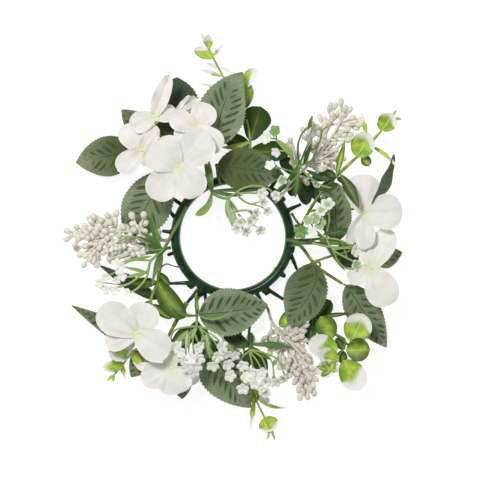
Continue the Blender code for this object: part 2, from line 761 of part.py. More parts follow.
BERRY_SPRAYS = {
    "berry_spray_left": BerrySpray(
        stems=(
            [*wall_run(183, 6.0), (-58.0, -2.0, 13.0), (-70.0, 3.0, 20.0), (-92.0, 4.0, 22.0),
             (-106.0, 2.5, 22.0), (-117.0, 1.0, 22.0)],
            [(-70.5, 3.0, 20.0), (-72.0, 9.0, 22.0)],
            [(-86.0, 3.7, 21.5), (-91.0, 9.5, 22.5)],
            [(-98.0, 3.3, 22.0), (-103.0, 8.5, 23.0)],
            [(-93.0, 4.0, 22.0), (-100.0, -5.0, 21.0), (-106.0, -14.0, 20.0)],
            [(-78.0, 3.3, 20.7), (-84.0, -4.0, 21.0)],
        ),
        berries=(
            ((-116.4, 1.2, 22.0), (-128.5, 5.0, 23.0)),
            ((-115.5, 1.2, 22.0), (-125.5, -5.0, 22.0)),
            ((-111.0, 1.8, 22.0), (-116.0, 10.5, 25.0)),
            ((-102.5, 8.0, 23.0), (-109.5, 15.5, 24.0)),
            ((-102.8, 8.3, 23.0), (-99.5, 17.5, 23.5)),
            ((-90.8, 9.3, 22.5), (-90.5, 18.5, 23.5)),
            ((-89.5, 7.8, 22.2), (-81.5, 14.0, 22.5)),
            ((-71.9, 8.6, 22.0), (-74.5, 17.5, 23.0)),
            ((-71.7, 8.0, 21.7), (-64.5, 14.5, 24.0)),
            ((-105.7, -13.5, 20.0), (-114.0, -22.5, 21.0)),
            ((-105.0, -12.6, 20.2), (-102.5, -23.0, 21.0)),
            ((-104.0, -11.0, 20.3), (-114.5, -12.5, 22.0)),
            ((-100.5, -5.8, 20.9), (-94.5, -15.0, 22.0)),
            ((-83.6, -3.6, 21.0), (-88.5, -13.0, 22.0)),
            ((-82.5, -2.3, 20.9), (-78.5, -12.0, 21.5)),
        ),
    ),
    "berry_spray_upper_right": BerrySpray(
        stems=(
            [*crown_run(39, 1.1), (46.0, 44.0, 15.0), (57.0, 54.0, 19.0), (67.0, 70.0, 20.5), (78.0, 92.0, 21.0)],
            [(57.0, 54.0, 19.0), (57.0, 80.0, 22.5)],
            [(50.0, 47.6, 16.5), (44.0, 65.0, 20.0)],
            [(74.5, 85.0, 20.8), (86.0, 88.0, 22.0)],
        ),
        berries=(
            ((77.6, 91.2, 21.0), (82.0, 102.3, 22.0)),
            ((76.8, 89.5, 21.0), (71.5, 98.5, 22.0)),
            ((85.6, 87.9, 22.0), (95.6, 91.0, 23.0)),
            ((84.5, 87.6, 21.9), (88.5, 78.5, 21.5)),
            ((74.5, 85.0, 20.9), (66.0, 90.0, 23.0)),
            ((57.0, 79.6, 22.4), (51.0, 89.0, 23.5)),
            ((57.0, 79.0, 22.4), (61.5, 88.0, 23.0)),
            ((57.0, 73.0, 21.5), (49.0, 78.5, 22.5)),
            ((57.0, 69.0, 21.0), (62.8, 78.5, 23.0)),
            ((60.5, 59.6, 19.5), (71.0, 57.5, 20.0)),
            ((64.5, 66.0, 20.1), (74.5, 67.5, 19.0)),
            ((44.3, 64.0, 19.8), (43.5, 74.5, 21.0)),
            ((46.5, 57.8, 18.5), (39.0, 62.5, 20.0)),
            ((52.5, 49.9, 17.3), (58.0, 41.0, 19.0)),
        ),
    ),
    "berry_spray_lower_right": BerrySpray(
        stems=(
            [*wall_run(294, 3.5), (26.5, -54.0, 6.0), (30.0, -65.0, 9.0), (37.0, -73.0, 12.0),
             (47.0, -83.0, 15.0), (51.0, -97.0, 17.0), (54.0, -110.0, 17.0)],
            [(33.0, -68.5, 10.3), (27.0, -77.0, 14.0)],
            [(41.0, -77.0, 13.2), (38.0, -88.0, 16.0)],
            [(38.0, -74.0, 12.3), (46.0, -73.0, 13.0)],
        ),
        berries=(
            ((54.0, -109.6, 17.0), (55.5, -122.5, 18.0)),
            ((53.8, -109.0, 17.0), (64.5, -116.5, 19.0)),
            ((53.4, -107.4, 17.0), (45.5, -115.5, 18.0)),
            ((52.8, -104.5, 17.0), (62.5, -104.5, 18.0)),
            ((52.0, -101.0, 17.0), (42.5, -105.0, 19.0)),
            ((50.2, -94.0, 16.6), (59.0, -93.5, 17.5)),
            ((47.5, -84.5, 15.2), (56.5, -83.0, 16.5)),
            ((27.3, -76.5, 13.8), (18.5, -83.5, 15.5)),
            ((27.5, -76.3, 13.7), (27.5, -87.0, 16.0)),
            ((38.1, -87.6, 15.9), (32.5, -97.5, 18.0)),
            ((38.2, -87.2, 15.8), (42.5, -96.0, 19.0)),
            ((45.6, -73.0, 13.0), (54.5, -69.0, 14.0)),
            ((45.0, -73.2, 12.9), (52.5, -79.0, 14.0)),
        ),
    ),
}


def build_berry_sprays():
    """All the cream berry sprays."""
    for name, spray in BERRY_SPRAYS.items():
        spray.build(name)


FLOWER_RADIUS = 4.6
FLOWER_WAIST = 2.6
FLOWER_DEPTH = 3.0


def tiny_flower(place, facing, turn):
    """Five-lobed funnel flower with a shallow eye on top and a pointed calyx below."""
    side = facing.cross(Vector((0.2, 1.0, 0.1))).normalized()
    over = side.cross(facing)
    mesh = bmesh.new()
    rim = []
    for index in range(10):
        angle = turn + index * math.pi / 5
        radius = FLOWER_WAIST if index % 2 else FLOWER_RADIUS
        rim.append(mesh.verts.new(place + side * radius * math.cos(angle) + over * radius * math.sin(angle)))
    eye = mesh.verts.new(place - facing * 0.4)
    calyx = mesh.verts.new(place - facing * FLOWER_DEPTH)
    for corner, after in zip(rim, rim[1:] + rim[:1]):
        mesh.faces.new((eye, corner, after))
        mesh.faces.new((calyx, after, corner))
    return new_object("flower", mesh)


@dataclass
class FlowerSpray:
    """Spray of tiny flowers: stems, the flowers at their ends and slender leaves.

    A flower is the place where its stem leaves and the place of its face. A leaf is its base, its tip
    and its width.
    """

    stems: tuple
    flowers: tuple
    leaves: tuple = ()
    seed: int = 1

    def build(self, name):
        """Everything fused into one body."""
        draw = random.Random(self.seed)
        shapes = [tube(stem, (0.95, 0.75), sides=4) for stem in self.stems]
        for start, place in self.flowers:
            begin = Vector(start)
            end = Vector(place)
            lean = (end - begin).normalized() * 0.5
            facing = Vector((lean.x + draw.uniform(-0.3, 0.3), lean.y + draw.uniform(-0.3, 0.3), 1.0)).normalized()
            shapes.append(tube([begin, end - facing * 1.6], (0.6, 0.6), sides=3))
            shapes.append(tiny_flower(end, facing, draw.uniform(0.0, 1.2)))
        for base, tip, width in self.leaves:
            blade = Blade(base, tip, width, narrow_outline, fold=0.0, arch=1.0, plain=True)
            shapes.append(loft("leaf", blade.sections(NARROW_SHARES)))
        fuse(shapes, name, "spray_plastic")


FLOWER_SPRAYS = {
    "gypsophila_left": FlowerSpray(
        stems=(
            [(-35.4, 23.4, 10.4), (-40.0, 14.0, 10.4), (-44.6, 5.1, 10.5), (-52.0, -10.0, 14.0),
             (-62.1, -16.2, 22.0), (-76.0, -35.5, 25.0), (-85.5, -38.5, 26.0)],
            [(-61.5, -15.8, 21.6), (-72.0, -10.0, 27.0), (-88.0, -12.0, 28.0)],
        ),
        flowers=(
            ((-87.5, -12.0, 28.0), (-94.0, -15.0, 30.0)),
            ((-80.0, -11.0, 27.6), (-85.0, -21.5, 30.0)),
            ((-72.0, -30.0, 24.1), (-81.0, -28.5, 29.0)),
            ((-85.0, -38.4, 26.0), (-93.5, -38.0, 29.0)),
            ((-76.0, -35.6, 25.0), (-82.0, -45.0, 28.0)),
        ),
        leaves=(
            ((-52.5, -10.2, 14.5), (-61.7, 17.5, 27.0), 3.5),
            ((-64.0, -19.0, 22.5), (-84.0, -23.5, 23.0), 3.5),
        ),
        seed=11,
    ),
    "gypsophila_upper_right": FlowerSpray(
        stems=(
            [*crown_run(46, 0.9), (41.0, 42.0, 20.0), (46.0, 49.0, 28.0), (50.7, 54.5, 31.0),
             (56.0, 66.0, 34.0), (61.0, 92.0, 34.0)],
            [(50.0, 53.5, 30.7), (42.0, 66.0, 34.0), (34.5, 73.5, 34.0)],
        ),
        flowers=(
            ((35.0, 73.0, 34.0), (32.4, 82.0, 35.5)),
            ((36.0, 72.0, 34.0), (24.5, 74.0, 35.0)),
            ((42.3, 65.6, 33.9), (33.1, 63.0, 35.5)),
            ((47.5, 50.8, 29.2), (29.0, 54.0, 32.0)),
            ((45.0, 47.7, 27.0), (37.5, 43.5, 31.0)),
            ((57.5, 73.5, 34.0), (72.0, 83.5, 36.0)),
        ),
        leaves=(
            ((52.0, 57.3, 31.7), (55.5, 72.0, 38.0), 4.5),
            ((43.0, 45.0, 23.5), (47.0, 34.0, 31.0), 4.0),
            ((51.5, 56.2, 31.5), (73.0, 41.0, 31.0), 2.8),
        ),
        seed=12,
    ),
    "gypsophila_over_hole": FlowerSpray(
        stems=(
            [*crown_run(119, 0.9), (-22.5, 47.0, 19.0), (-19.0, 43.0, 26.0), (-16.4, 35.0, 28.0),
             (-4.2, 28.7, 29.0), (1.0, 19.0, 29.0), (8.0, 11.0, 28.5), (14.0, 6.5, 28.0)],
            [(-5.0, 29.1, 29.0), (6.0, 38.0, 31.0), (26.0, 35.5, 30.0)],
            [(-4.0, 28.5, 29.0), (5.0, 30.0, 30.0), (17.0, 22.0, 28.5)],
        ),
        flowers=(
            ((25.0, 35.6, 30.0), (33.0, 32.0, 31.5)),
            ((6.5, 29.0, 29.8), (19.5, 30.0, 31.5)),
            ((16.7, 22.2, 28.5), (26.5, 19.5, 30.0)),
            ((12.0, 25.2, 29.1), (16.5, 15.5, 31.0)),
            ((13.5, 6.8, 28.0), (20.5, 4.5, 30.0)),
            ((9.0, 10.2, 28.4), (10.5, 1.5, 29.5)),
            ((1.5, 18.3, 29.0), (-1.0, 7.5, 30.0)),
        ),
        leaves=(
            ((-17.0, 37.0, 27.5), (-29.0, 16.5, 26.0), 7.0),
            ((-12.0, 32.7, 28.3), (20.0, 34.0, 26.0), 3.0),
        ),
        seed=13,
    ),
    "gypsophila_right": FlowerSpray(
        stems=(
            [*crown_run(-3, 0.9), (57.0, -2.5, 13.0), (66.0, -1.5, 21.0), (71.0, -1.0, 25.0), (72.5, 8.0, 27.0),
             (72.0, 16.0, 28.0)],
            [(70.5, -1.1, 24.6), (79.0, -2.0, 27.0), (86.0, -6.5, 26.0)],
            [(70.0, -1.0, 24.2), (64.0, 6.0, 26.0), (58.0, 7.0, 26.0)],
        ),
        flowers=(
            ((72.0, 15.5, 28.0), (66.0, 25.0, 29.5)),
            ((72.2, 13.0, 27.7), (77.0, 18.5, 29.5)),
            ((60.0, 6.7, 26.0), (59.5, 14.5, 28.5)),
            ((58.3, 7.0, 26.0), (51.0, 3.6, 27.5)),
            ((85.5, -6.2, 26.0), (91.0, -9.5, 26.5)),
            ((77.0, -1.7, 26.5), (87.5, -21.0, 26.5)),
        ),
        leaves=(
            ((65.0, -1.6, 20.0), (41.0, -2.5, 16.5), 6.0),
            ((74.0, -1.5, 25.6), (89.0, 4.0, 25.0), 4.5),
        ),
        seed=14,
    ),
    "gypsophila_bottom_left": FlowerSpray(
        stems=(
            [*crown_run(241, 0.9), (-27.5, -47.0, 17.0), (-29.0, -57.0, 25.0), (-27.1, -68.8, 31.0),
             (-21.0, -76.0, 33.0), (-17.0, -88.0, 32.0)],
            [(-26.7, -69.3, 31.1), (-17.0, -70.0, 34.0), (-8.5, -80.0, 33.0)],
            [(-27.2, -68.5, 30.8), (-36.0, -72.0, 32.0), (-40.0, -78.0, 31.0)],
            [(-27.0, -69.0, 31.0), (-32.0, -90.0, 33.0)],
        ),
        flowers=(
            ((-9.0, -79.5, 33.0), (-1.5, -88.5, 34.0)),
            ((-17.2, -87.4, 32.0), (-8.0, -91.0, 34.0)),
            ((-17.1, -87.8, 32.0), (-13.0, -98.5, 33.0)),
            ((-10.0, -78.3, 33.2), (-8.0, -72.0, 36.0)),
            ((-39.8, -77.6, 31.0), (-42.5, -85.0, 32.5)),
            ((-31.8, -89.0, 33.0), (-37.0, -95.0, 34.0)),
            ((-31.8, -89.2, 33.0), (-27.0, -98.0, 35.0)),
        ),
        leaves=(
            ((-28.7, -59.0, 26.0), (-1.5, -54.5, 26.0), 4.0),
            ((-28.6, -60.0, 26.5), (-45.0, -54.5, 24.0), 4.0),
        ),
        seed=15,
    ),
    "gypsophila_bottom_right": FlowerSpray(
        stems=(
            [*wall_run(286, 4.0), (14.0, -62.0, 6.5), (12.5, -74.0, 11.0), (14.0, -81.0, 21.0), (15.6, -86.3, 27.0),
             (24.0, -87.0, 29.0), (33.0, -102.0, 29.0)],
            [(15.0, -84.5, 25.0), (8.0, -90.0, 28.0), (8.0, -107.0, 27.0)],
            [(19.0, -86.6, 27.8), (21.0, -101.0, 28.5)],
        ),
        flowers=(
            ((8.0, -91.5, 27.9), (13.0, -97.5, 30.5)),
            ((8.0, -106.5, 27.0), (9.0, -115.0, 28.0)),
            ((20.9, -100.5, 28.5), (23.5, -108.5, 30.0)),
            ((32.8, -101.7, 29.0), (32.0, -111.0, 30.0)),
            ((31.5, -99.5, 29.0), (40.0, -105.5, 31.0)),
            ((27.5, -92.8, 29.0), (34.5, -90.0, 31.0)),
        ),
        leaves=(
            ((14.5, -82.5, 22.7), (44.0, -83.0, 24.0), 5.0),
            ((13.8, -80.5, 20.0), (0.0, -85.5, 25.0), 4.0),
        ),
        seed=16,
    ),
}


def build_flower_sprays():
    """All the sprays of tiny white flowers."""
    for name, spray in FLOWER_SPRAYS.items():
        spray.build(name)


def main():
    """Build the candle ring in an empty scene."""
    for old in list(bpy.data.objects):
        bpy.data.objects.remove(old)
    build_ring()
    build_hydrangea_stems()
    build_florets()
    build_leaves()
    build_sprigs()
    build_berry_sprays()
    build_flower_sprays()


main()
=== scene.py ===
"""Hydrangea candle ring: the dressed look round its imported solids.

Places and sizes are in millimetres from the middle of the ring's hole, at the height of the surface that the
ring lies on. X runs to the right and Y away from the viewer, as the ring is seen from straight above.
"""

import logging
import math
import random
from dataclasses import KW_ONLY, dataclass, fields
from enum import Enum
from typing import Callable, Iterable, Sequence, Union

import bmesh
import bpy
import numpy as np
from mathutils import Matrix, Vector

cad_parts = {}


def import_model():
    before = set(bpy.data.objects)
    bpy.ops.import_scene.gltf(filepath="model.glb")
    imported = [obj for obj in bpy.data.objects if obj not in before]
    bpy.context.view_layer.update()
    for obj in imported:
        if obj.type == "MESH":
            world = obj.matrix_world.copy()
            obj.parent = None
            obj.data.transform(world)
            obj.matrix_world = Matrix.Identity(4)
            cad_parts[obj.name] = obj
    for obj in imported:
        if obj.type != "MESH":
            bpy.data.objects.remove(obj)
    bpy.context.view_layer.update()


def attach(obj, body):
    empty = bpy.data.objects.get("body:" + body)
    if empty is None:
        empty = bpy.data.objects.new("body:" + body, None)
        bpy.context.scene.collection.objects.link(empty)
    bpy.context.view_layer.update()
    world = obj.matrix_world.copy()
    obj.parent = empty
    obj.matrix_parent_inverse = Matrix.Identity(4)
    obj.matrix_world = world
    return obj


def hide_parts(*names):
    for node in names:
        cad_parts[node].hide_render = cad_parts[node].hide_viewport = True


LOG = logging.getLogger("candle_ring")

MM = 0.001
Point = tuple[float, float, float]
Colour = tuple[float, float, float]
Pair = tuple[float, float]
Path = Sequence[Point]
Array = np.ndarray
Shape = bpy.types.Object
Material = bpy.types.Material
Number = Union["Value", float]

# The moulded ring, the same as in the solids
HOLE_RADIUS = 40.0
OUTER_RADIUS = 47.5
CROWN_RADIUS = 43.75
RING_HEIGHT = 9.0
SEAT_GAP = 0.4

# Side veins of a leaf: how far apart they leave the midrib, and how much they lean towards the tip
VEIN_SPACING = 5.4
VEIN_LEAN = (0.2, 1.05)


class Slot(Enum):
    """The record's material slots."""

    RING = "ring_plastic"
    STEM = "stem_plastic"
    PETAL = "petal_fabric"
    LEAF = "leaf_fabric"
    DARK_LEAF = "dark_leaf_fabric"
    EUCALYPTUS = "eucalyptus_plastic"
    DARK_EUCALYPTUS = "dark_eucalyptus_plastic"
    BERRY = "berry_plastic"
    SPRAY = "spray_plastic"


def srgb(red: int, green: int, blue: int) -> Colour:
    """Linear colour of a paint given in the usual 0 to 255 steps."""
    return tuple(
        ((step / 255 + 0.055) / 1.055) ** 2.4 if step > 10 else step / 3295 for step in (red, green, blue)
    )


def polar(radius: float, angle: float, height: float) -> Point:
    """Point at a radius and an angle in degrees round the ring."""
    turn = math.radians(angle)
    return (radius * math.cos(turn), radius * math.sin(turn), height)


def wall_run(angle: float, height: float) -> list[Point]:
    """First two points of a stem that starts at the ring's outer wall."""
    start = OUTER_RADIUS + SEAT_GAP
    return [polar(start, angle, height), polar(start + 4.0, angle, height + 0.3)]


def crown_run(angle: float, radius: float) -> list[Point]:
    """First two points of a stem that lies across the ring's crown."""
    height = RING_HEIGHT + SEAT_GAP + radius
    return [polar(CROWN_RADIUS - 2.5, angle, height), polar(CROWN_RADIUS + 3.0, angle, height + 0.2)]


def unit(vectors: Array) -> Array:
    """Rows of an array made one long."""
    return vectors / np.maximum(np.linalg.norm(vectors, axis=-1, keepdims=True), 1e-9)


class Value:
    """A number or colour socket of a material, on which Python's operators build Math nodes."""

    def __init__(self, tree: bpy.types.NodeTree, socket: bpy.types.NodeSocket) -> None:
        """Keep the tree and the socket."""
        self.tree = tree
        self.socket = socket

    def math(self, operation: str, *others: Number) -> "Value":
        """One Math node on this value.

        Args:
            operation: name of the Math node's operation.
            others: the further operands.

        Returns:
            The node's result.
        """
        node = self.tree.nodes.new("ShaderNodeMath")
        node.operation = operation
        for index, item in enumerate((self, *others)):
            plug(self.tree, node.inputs[index], item)
        return Value(self.tree, node.outputs[0])

    def __add__(self, other: Number) -> "Value":
        """This plus the other."""
        return self.math("ADD", other)

    __radd__ = __add__

    def __mul__(self, other: Number) -> "Value":
        """This times the other."""
        return self.math("MULTIPLY", other)

    __rmul__ = __mul__

    def __sub__(self, other: Number) -> "Value":
        """This less the other."""
        return self.math("SUBTRACT", other)

    def __rsub__(self, other: float) -> "Value":
        """The other less this."""
        return self.math("MULTIPLY", -1.0) + other

    def __truediv__(self, other: Number) -> "Value":
        """This divided by the other."""
        return self.math("DIVIDE", other)

    def between(self, low: Number, high: Number) -> "Value":
        """Smooth step from 0 at low to 1 at high."""
        node = self.tree.nodes.new("ShaderNodeMapRange")
        node.interpolation_type = "SMOOTHSTEP"
        for name, item in (("Value", self), ("From Min", low), ("From Max", high)):
            plug(self.tree, node.inputs[name], item)
        return Value(self.tree, node.outputs[0])

    def size(self) -> "Value":
        """The value without its sign."""
        return self.math("ABSOLUTE")

    def most(self, other: Number) -> "Value":
        """The larger of the two."""
        return self.math("MAXIMUM", other)


def plug(tree: bpy.types.NodeTree, socket: bpy.types.NodeSocket, item: object) -> None:
    """Link a value to a socket, or set the socket to a number or colour."""
    if isinstance(item, Value):
        tree.links.new(item.socket, socket)
    elif isinstance(item, tuple) and socket.type == "RGBA":
        socket.default_value = (*item, 1.0)
    else:
        socket.default_value = item


class Paint:
    """A material under construction, with its one surface shader."""

    def __init__(self, name: str) -> None:
        """Start a material with an untouched surface shader."""
        self.material = bpy.data.materials.new(name)
        self.material.use_nodes = True
        self.tree = self.material.node_tree
        self.surface = self.tree.nodes["Principled BSDF"]

    def node(self, kind: str, settings: dict, sockets: dict, output: Union[int, str] = 0) -> Value:
        """One node of any kind.

        Args:
            kind: the node's type.
            settings: the node's own settings, set first.
            sockets: value or link of each socket, by name or number.
            output: which result is wanted.

        Returns:
            The wanted result.
        """
        made = self.tree.nodes.new(kind)
        for name, setting in settings.items():
            setattr(made, name, setting)
        for name, item in sockets.items():
            plug(self.tree, made.inputs[name], item)
        return Value(self.tree, made.outputs[output])

    def parts(self, attribute: str) -> tuple[Value, Value, Value]:
        """The three numbers that a piece's own attribute holds at each place."""
        vector = self.node("ShaderNodeAttribute", {"attribute_name": attribute}, {}, "Vector")
        made = self.tree.nodes.new("ShaderNodeSeparateXYZ")
        plug(self.tree, made.inputs[0], vector)
        return tuple(Value(self.tree, made.outputs[index]) for index in range(3))

    def spot(self, scale: float, detail: float = 2.0, stretch: Point = (1.0, 1.0, 1.0)) -> Value:
        """Soft noise in space, from 0 to 1.

        Args:
            scale: blotches per metre.
            detail: how many finer layers are added.
            stretch: scale of the three directions.

        Returns:
            The noise.
        """
        place = self.node("ShaderNodeTexCoord", {}, {}, "Object")
        turned = self.node("ShaderNodeMapping", {}, {"Vector": place, "Scale": stretch})
        return self.node("ShaderNodeTexNoise", {}, {"Vector": turned, "Scale": scale, "Detail": detail})

    def mix(self, share: Number, first: Union[Value, Colour], second: Union[Value, Colour]) -> Value:
        """Colour between two colours."""
        return self.node("ShaderNodeMix", {"data_type": "RGBA"}, {0: share, 6: first, 7: second}, 2)

    def relief(self, height: Value, depth: float) -> None:
        """Bump on the whole surface, depth metres high."""
        bump = self.node("ShaderNodeBump", {}, {"Height": height, "Distance": depth, "Strength": 1.0})
        plug(self.tree, self.surface.inputs["Normal"], bump)

    def set(self, **sockets: object) -> None:
        """Set sockets of the surface shader, named with underscores for blanks."""
        for name, item in sockets.items():
            plug(self.tree, self.surface.inputs[name.replace("_", " ").title().replace("Ior", "IOR")], item)


@dataclass(frozen=True)
class RingPlastic:
    """Glossy dark green moulded plastic."""

    body: Colour = srgb(24, 70, 34)
    deep: Colour = srgb(9, 35, 14)

    def material(self) -> Material:
        """Moulded plastic with faint flow marks and dull scuffs."""
        paint = Paint("ring_plastic")
        flow = paint.spot(90.0, 3.0, (1.0, 1.0, 3.0))
        scuff = paint.spot(650.0, 4.0)
        paint.set(
            base_color=paint.mix(flow.between(0.3, 0.75), self.deep, self.body),
            roughness=scuff * 0.2 + 0.16,
            specular_ior_level=0.28,
        )
        paint.relief(flow + scuff * 0.25, 0.00012)
        return paint.material


@dataclass(frozen=True)
class StemPlastic:
    """Olive plastic stem with a brown flush where it has been cut and handled."""

    olive: Colour = srgb(150, 156, 52)
    green: Colour = srgb(84, 112, 40)
    brown: Colour = srgb(112, 92, 62)

    def material(self) -> Material:
        """Satin plastic, mottled along its length."""
        paint = Paint("stem_plastic")
        share, side, tone = paint.parts("tint")
        mottle = paint.spot(160.0, 3.0)
        body = paint.mix(mottle.between(0.35, 0.65), self.olive, self.green)
        paint.set(
            base_color=paint.mix(tone.between(0.4, 1.0) * 0.9, body, self.brown),
            roughness=mottle * 0.25 + 0.32,
        )
        paint.relief(paint.spot(1400.0, 3.0), 0.00015)
        return paint.material


@dataclass(frozen=True)
class PetalCloth:
    """Off-white pressed cloth of a hydrangea petal."""

    face: Colour = srgb(240, 236, 231)
    shade: Colour = srgb(227, 222, 214)
    flush: Colour = srgb(228, 231, 188)
    rim: Colour = srgb(244, 240, 236)

    def material(self) -> Material:
        """Fine weave, ribs that fan out from the claw and a yellow-green flush at the middle."""
        paint = Paint("petal_fabric")
        along, across, seed = paint.parts("place")
        share, side, tone = paint.parts("tint")
        fan = across / (along + 6.0)
        ribs = paint.node(
            "ShaderNodeTexNoise", {"noise_dimensions": "2D"},
            {"Vector": paint.node("ShaderNodeCombineXYZ", {}, {0: fan * 26.0 + seed, 1: along * 0.035}),
             "Scale": 1.0, "Detail": 2.0},
        )
        weave = paint.spot(2600.0, 2.0)
        cloud = paint.spot(110.0, 2.0)
        face = paint.mix(cloud.between(0.35, 0.7) * 0.5 + ribs.between(0.5, 0.7) * 0.2, self.face, self.shade)
        face = paint.mix(side.size().between(0.8, 1.0) * 0.4, face, self.rim)
        radius = (((along - 2.8) * (along - 2.8)) + across * across).math("SQRT")
        glow = (1.0 - (radius + cloud * 2.0).between(1.5, 10.5)) * tone
        paint.set(
            base_color=paint.mix(glow * 0.85, face, self.flush),
            roughness=weave * 0.15 + 0.68,
        )
        paint.relief(ribs * 0.7 + weave * 0.3 + cloud * 0.5, 0.00035)
        return paint.material


@dataclass(frozen=True)
class LeafCloth:
    """Printed cloth leaf: midrib, broken side veins, fine lines between them and dots near the edge."""

    name: str
    face: Colour
    shade: Colour
    print_colour: Colour
    strength: float
    # deep is the colour of the painted shade that a leaf's tone lays on, strongest at its base
    deep: Colour = srgb(84, 98, 56)

    def veins(self, paint: Paint) -> tuple[Value, Value]:
        """The print and the groove of each vein.

        Args:
            paint: the material being made.

        Returns:
            Where the print lies, and how near the cloth is to a side vein, both from 0 to 1.
        """
        along, across, seed = paint.parts("place")
        share, side, tone = paint.parts("tint")
        hand = across.math("SIGN")
        reach = across.size()
        lane = (along - reach * (share * VEIN_LEAN[1] + VEIN_LEAN[0])) / VEIN_SPACING + hand * 0.23 + seed
        number = lane.math("FLOOR")
        gap = (lane - number - 0.5).size() * (VEIN_SPACING * 0.86)
        first = self.draw(paint, number + hand * 31.0 + seed * 57.0)
        second = self.draw(paint, number * 1.7 + hand * 17.0 + seed * 91.0 + 5.0)
        stretch = side.size()
        spread = (stretch - (first * 0.24 + 0.07)) / (second * 0.3 + 0.34)
        swell = (spread * (1.0 - spread) * 4.0).most(0.0).math("SQRT") * (second * 0.9 + 0.75)
        dash = (swell - gap).between(-0.05, 0.3) * (1.0 - stretch.between(0.8, 0.95))
        vein = gap.between(VEIN_SPACING * 0.37, VEIN_SPACING * 0.42) * (1.0 - stretch.between(0.6, 0.9))
        fine_lane = lane * 4.0 + 0.5
        fine_gap = (fine_lane.math("FRACT") - 0.5).size()
        inward = 1.0 - stretch.between(0.45, 0.85)
        fine = (1.0 - fine_gap.between(0.08, 0.24)) * inward * stretch.between(0.03, 0.1)
        midrib = (1.0 - reach.between(0.22, 0.55)) * (1.0 - share.between(0.6, 0.9))
        flat = paint.node("ShaderNodeCombineXYZ", {}, {0: along, 1: across})
        grain = paint.node(
            "ShaderNodeTexVoronoi", {"voronoi_dimensions": "2D"}, {"Vector": flat, "Scale": 0.42}, "Distance",
        )
        inside = 1.0 - stretch.between(0.88, 0.96)
        dots = (1.0 - grain.between(0.1, 0.2)) * stretch.between(0.45, 0.6) * inside
        printed = dash.most(fine * 0.6).most(midrib).most(dots * 0.6).most(vein * 0.75)
        return printed * (1.0 - share.between(0.88, 1.0)), 1.0 - gap.between(0.0, 1.2)

    def draw(self, paint: Paint, number: Value) -> Value:
        """The same random share for the same number."""
        return paint.node("ShaderNodeTexWhiteNoise", {"noise_dimensions": "1D"}, {"W": number})

    def material(self) -> Material:
        """Matt woven cloth with its print, and painted shade from the leaf's tone."""
        paint = Paint(self.name)
        printed, groove = self.veins(paint)
        weave = paint.spot(2200.0, 2.0)
        cloud = paint.spot(70.0, 3.0)
        cloth = paint.mix(cloud.between(0.3, 0.7), self.face, self.shade)
        cloth = paint.mix(weave.between(0.45, 0.75) * 0.22, cloth, self.shade)
        share, side, tone = paint.parts("tint")
        # Painted shade: tone mixes the cloth towards deep, most at the base. On the dark cloth deep is paler,
        # so there it lightens the base
        cloth = paint.mix(tone * (1.15 - share), cloth, self.deep)
        paint.set(
            base_color=paint.mix(printed * self.strength, cloth, self.print_colour),
            roughness=weave * 0.12 + 0.74,
        )
        paint.relief(weave * 0.35 - groove * 0.5 - printed * 0.25, 0.0004)
        return paint.material


@dataclass(frozen=True)
class EucalyptusPlastic:
    """Soft moulded leaf, yellow-green with a frosted tip, or deep green on older leaves."""

    name: str
    lime: Colour = srgb(184, 211, 82)
    mid: Colour = srgb(132, 167, 50)
    deep: Colour = srgb(40, 70, 14)
    frost: Colour = srgb(240, 238, 233)
    rib: Colour = srgb(206, 222, 128)

    def material(self) -> Material:
        """Sprayed colours: frost over the tip, brushed green below it and a paler midrib that is partly a
        painted highlight, with painted shade towards the edges.
        """
        paint = Paint(self.name)
        along, across, seed = paint.parts("place")
        share, side, tone = paint.parts("tint")
        brush = paint.spot(150.0, 4.0)
        speck = paint.spot(900.0, 3.0)
        green = paint.mix(brush.between(0.35, 0.65), self.lime, self.mid)
        # Painted shade: a leaf of middle tone is deeper green towards its edges and painted paler in its
        # middle
        rim = side.size().between(0.0, 0.75)
        green = paint.mix((tone - (1.0 - rim) * (1.0 - tone) * 1.5).between(0.0, 1.0), green, self.deep)
        # Paler midrib: partly the moulding's own colour, partly a painted highlight along the middle of the
        # leaf
        rib = (1.0 - across.size().between(0.1, 0.9)) * (1.0 - share.between(0.5, 0.9))
        green = paint.mix(rib * (1.0 - tone * 0.75) * 0.55, green, self.rib)
        # Painted shade along the edges
        green = paint.mix(side.size().between(0.82, 0.97) * 0.5, green, self.deep)
        front = ((share - 0.35) / 0.65).most(0.0)
        reach = (side * 0.8) * front.between(0.0, 0.4)
        edge = (front * front + reach * reach).math("SQRT") + (brush - 0.5) * 0.45 - seed
        tip = edge.between(-0.08, 0.3)
        paint.set(
            base_color=paint.mix(tip, green, self.frost),
            roughness=speck * 0.2 + 0.38,
            specular_ior_level=0.3,
        )
        paint.relief(speck * 0.3 + brush * 0.4 - rib * 0.6, 0.0003)
        return paint.material


@dataclass(frozen=True)
class BerryPlastic:
    """Cream moulded berries on stems that turn olive-grey towards the root."""

    cream: Colour = srgb(235, 230, 218)
    shade: Colour = srgb(211, 204, 185)
    olive: Colour = srgb(118, 116, 78)
    pit: Colour = srgb(150, 132, 100)

    def material(self) -> Material:
        """Matt plastic, a little darker in the pits and mottled."""
        paint = Paint("berry_plastic")
        share, side, tone = paint.parts("tint")
        mottle = paint.spot(420.0, 3.0)
        grain = paint.spot(2400.0, 2.0)
        body = paint.mix(mottle.between(0.4, 0.75) * 0.8, self.cream, self.shade)
        body = paint.mix(side.between(0.5, 1.0) * 0.8, body, self.pit)
        paint.set(
            base_color=paint.mix(tone, body, self.olive),
            roughness=grain * 0.2 + 0.5,
        )
        paint.relief(grain * 0.5 + mottle, 0.0002)
        return paint.material


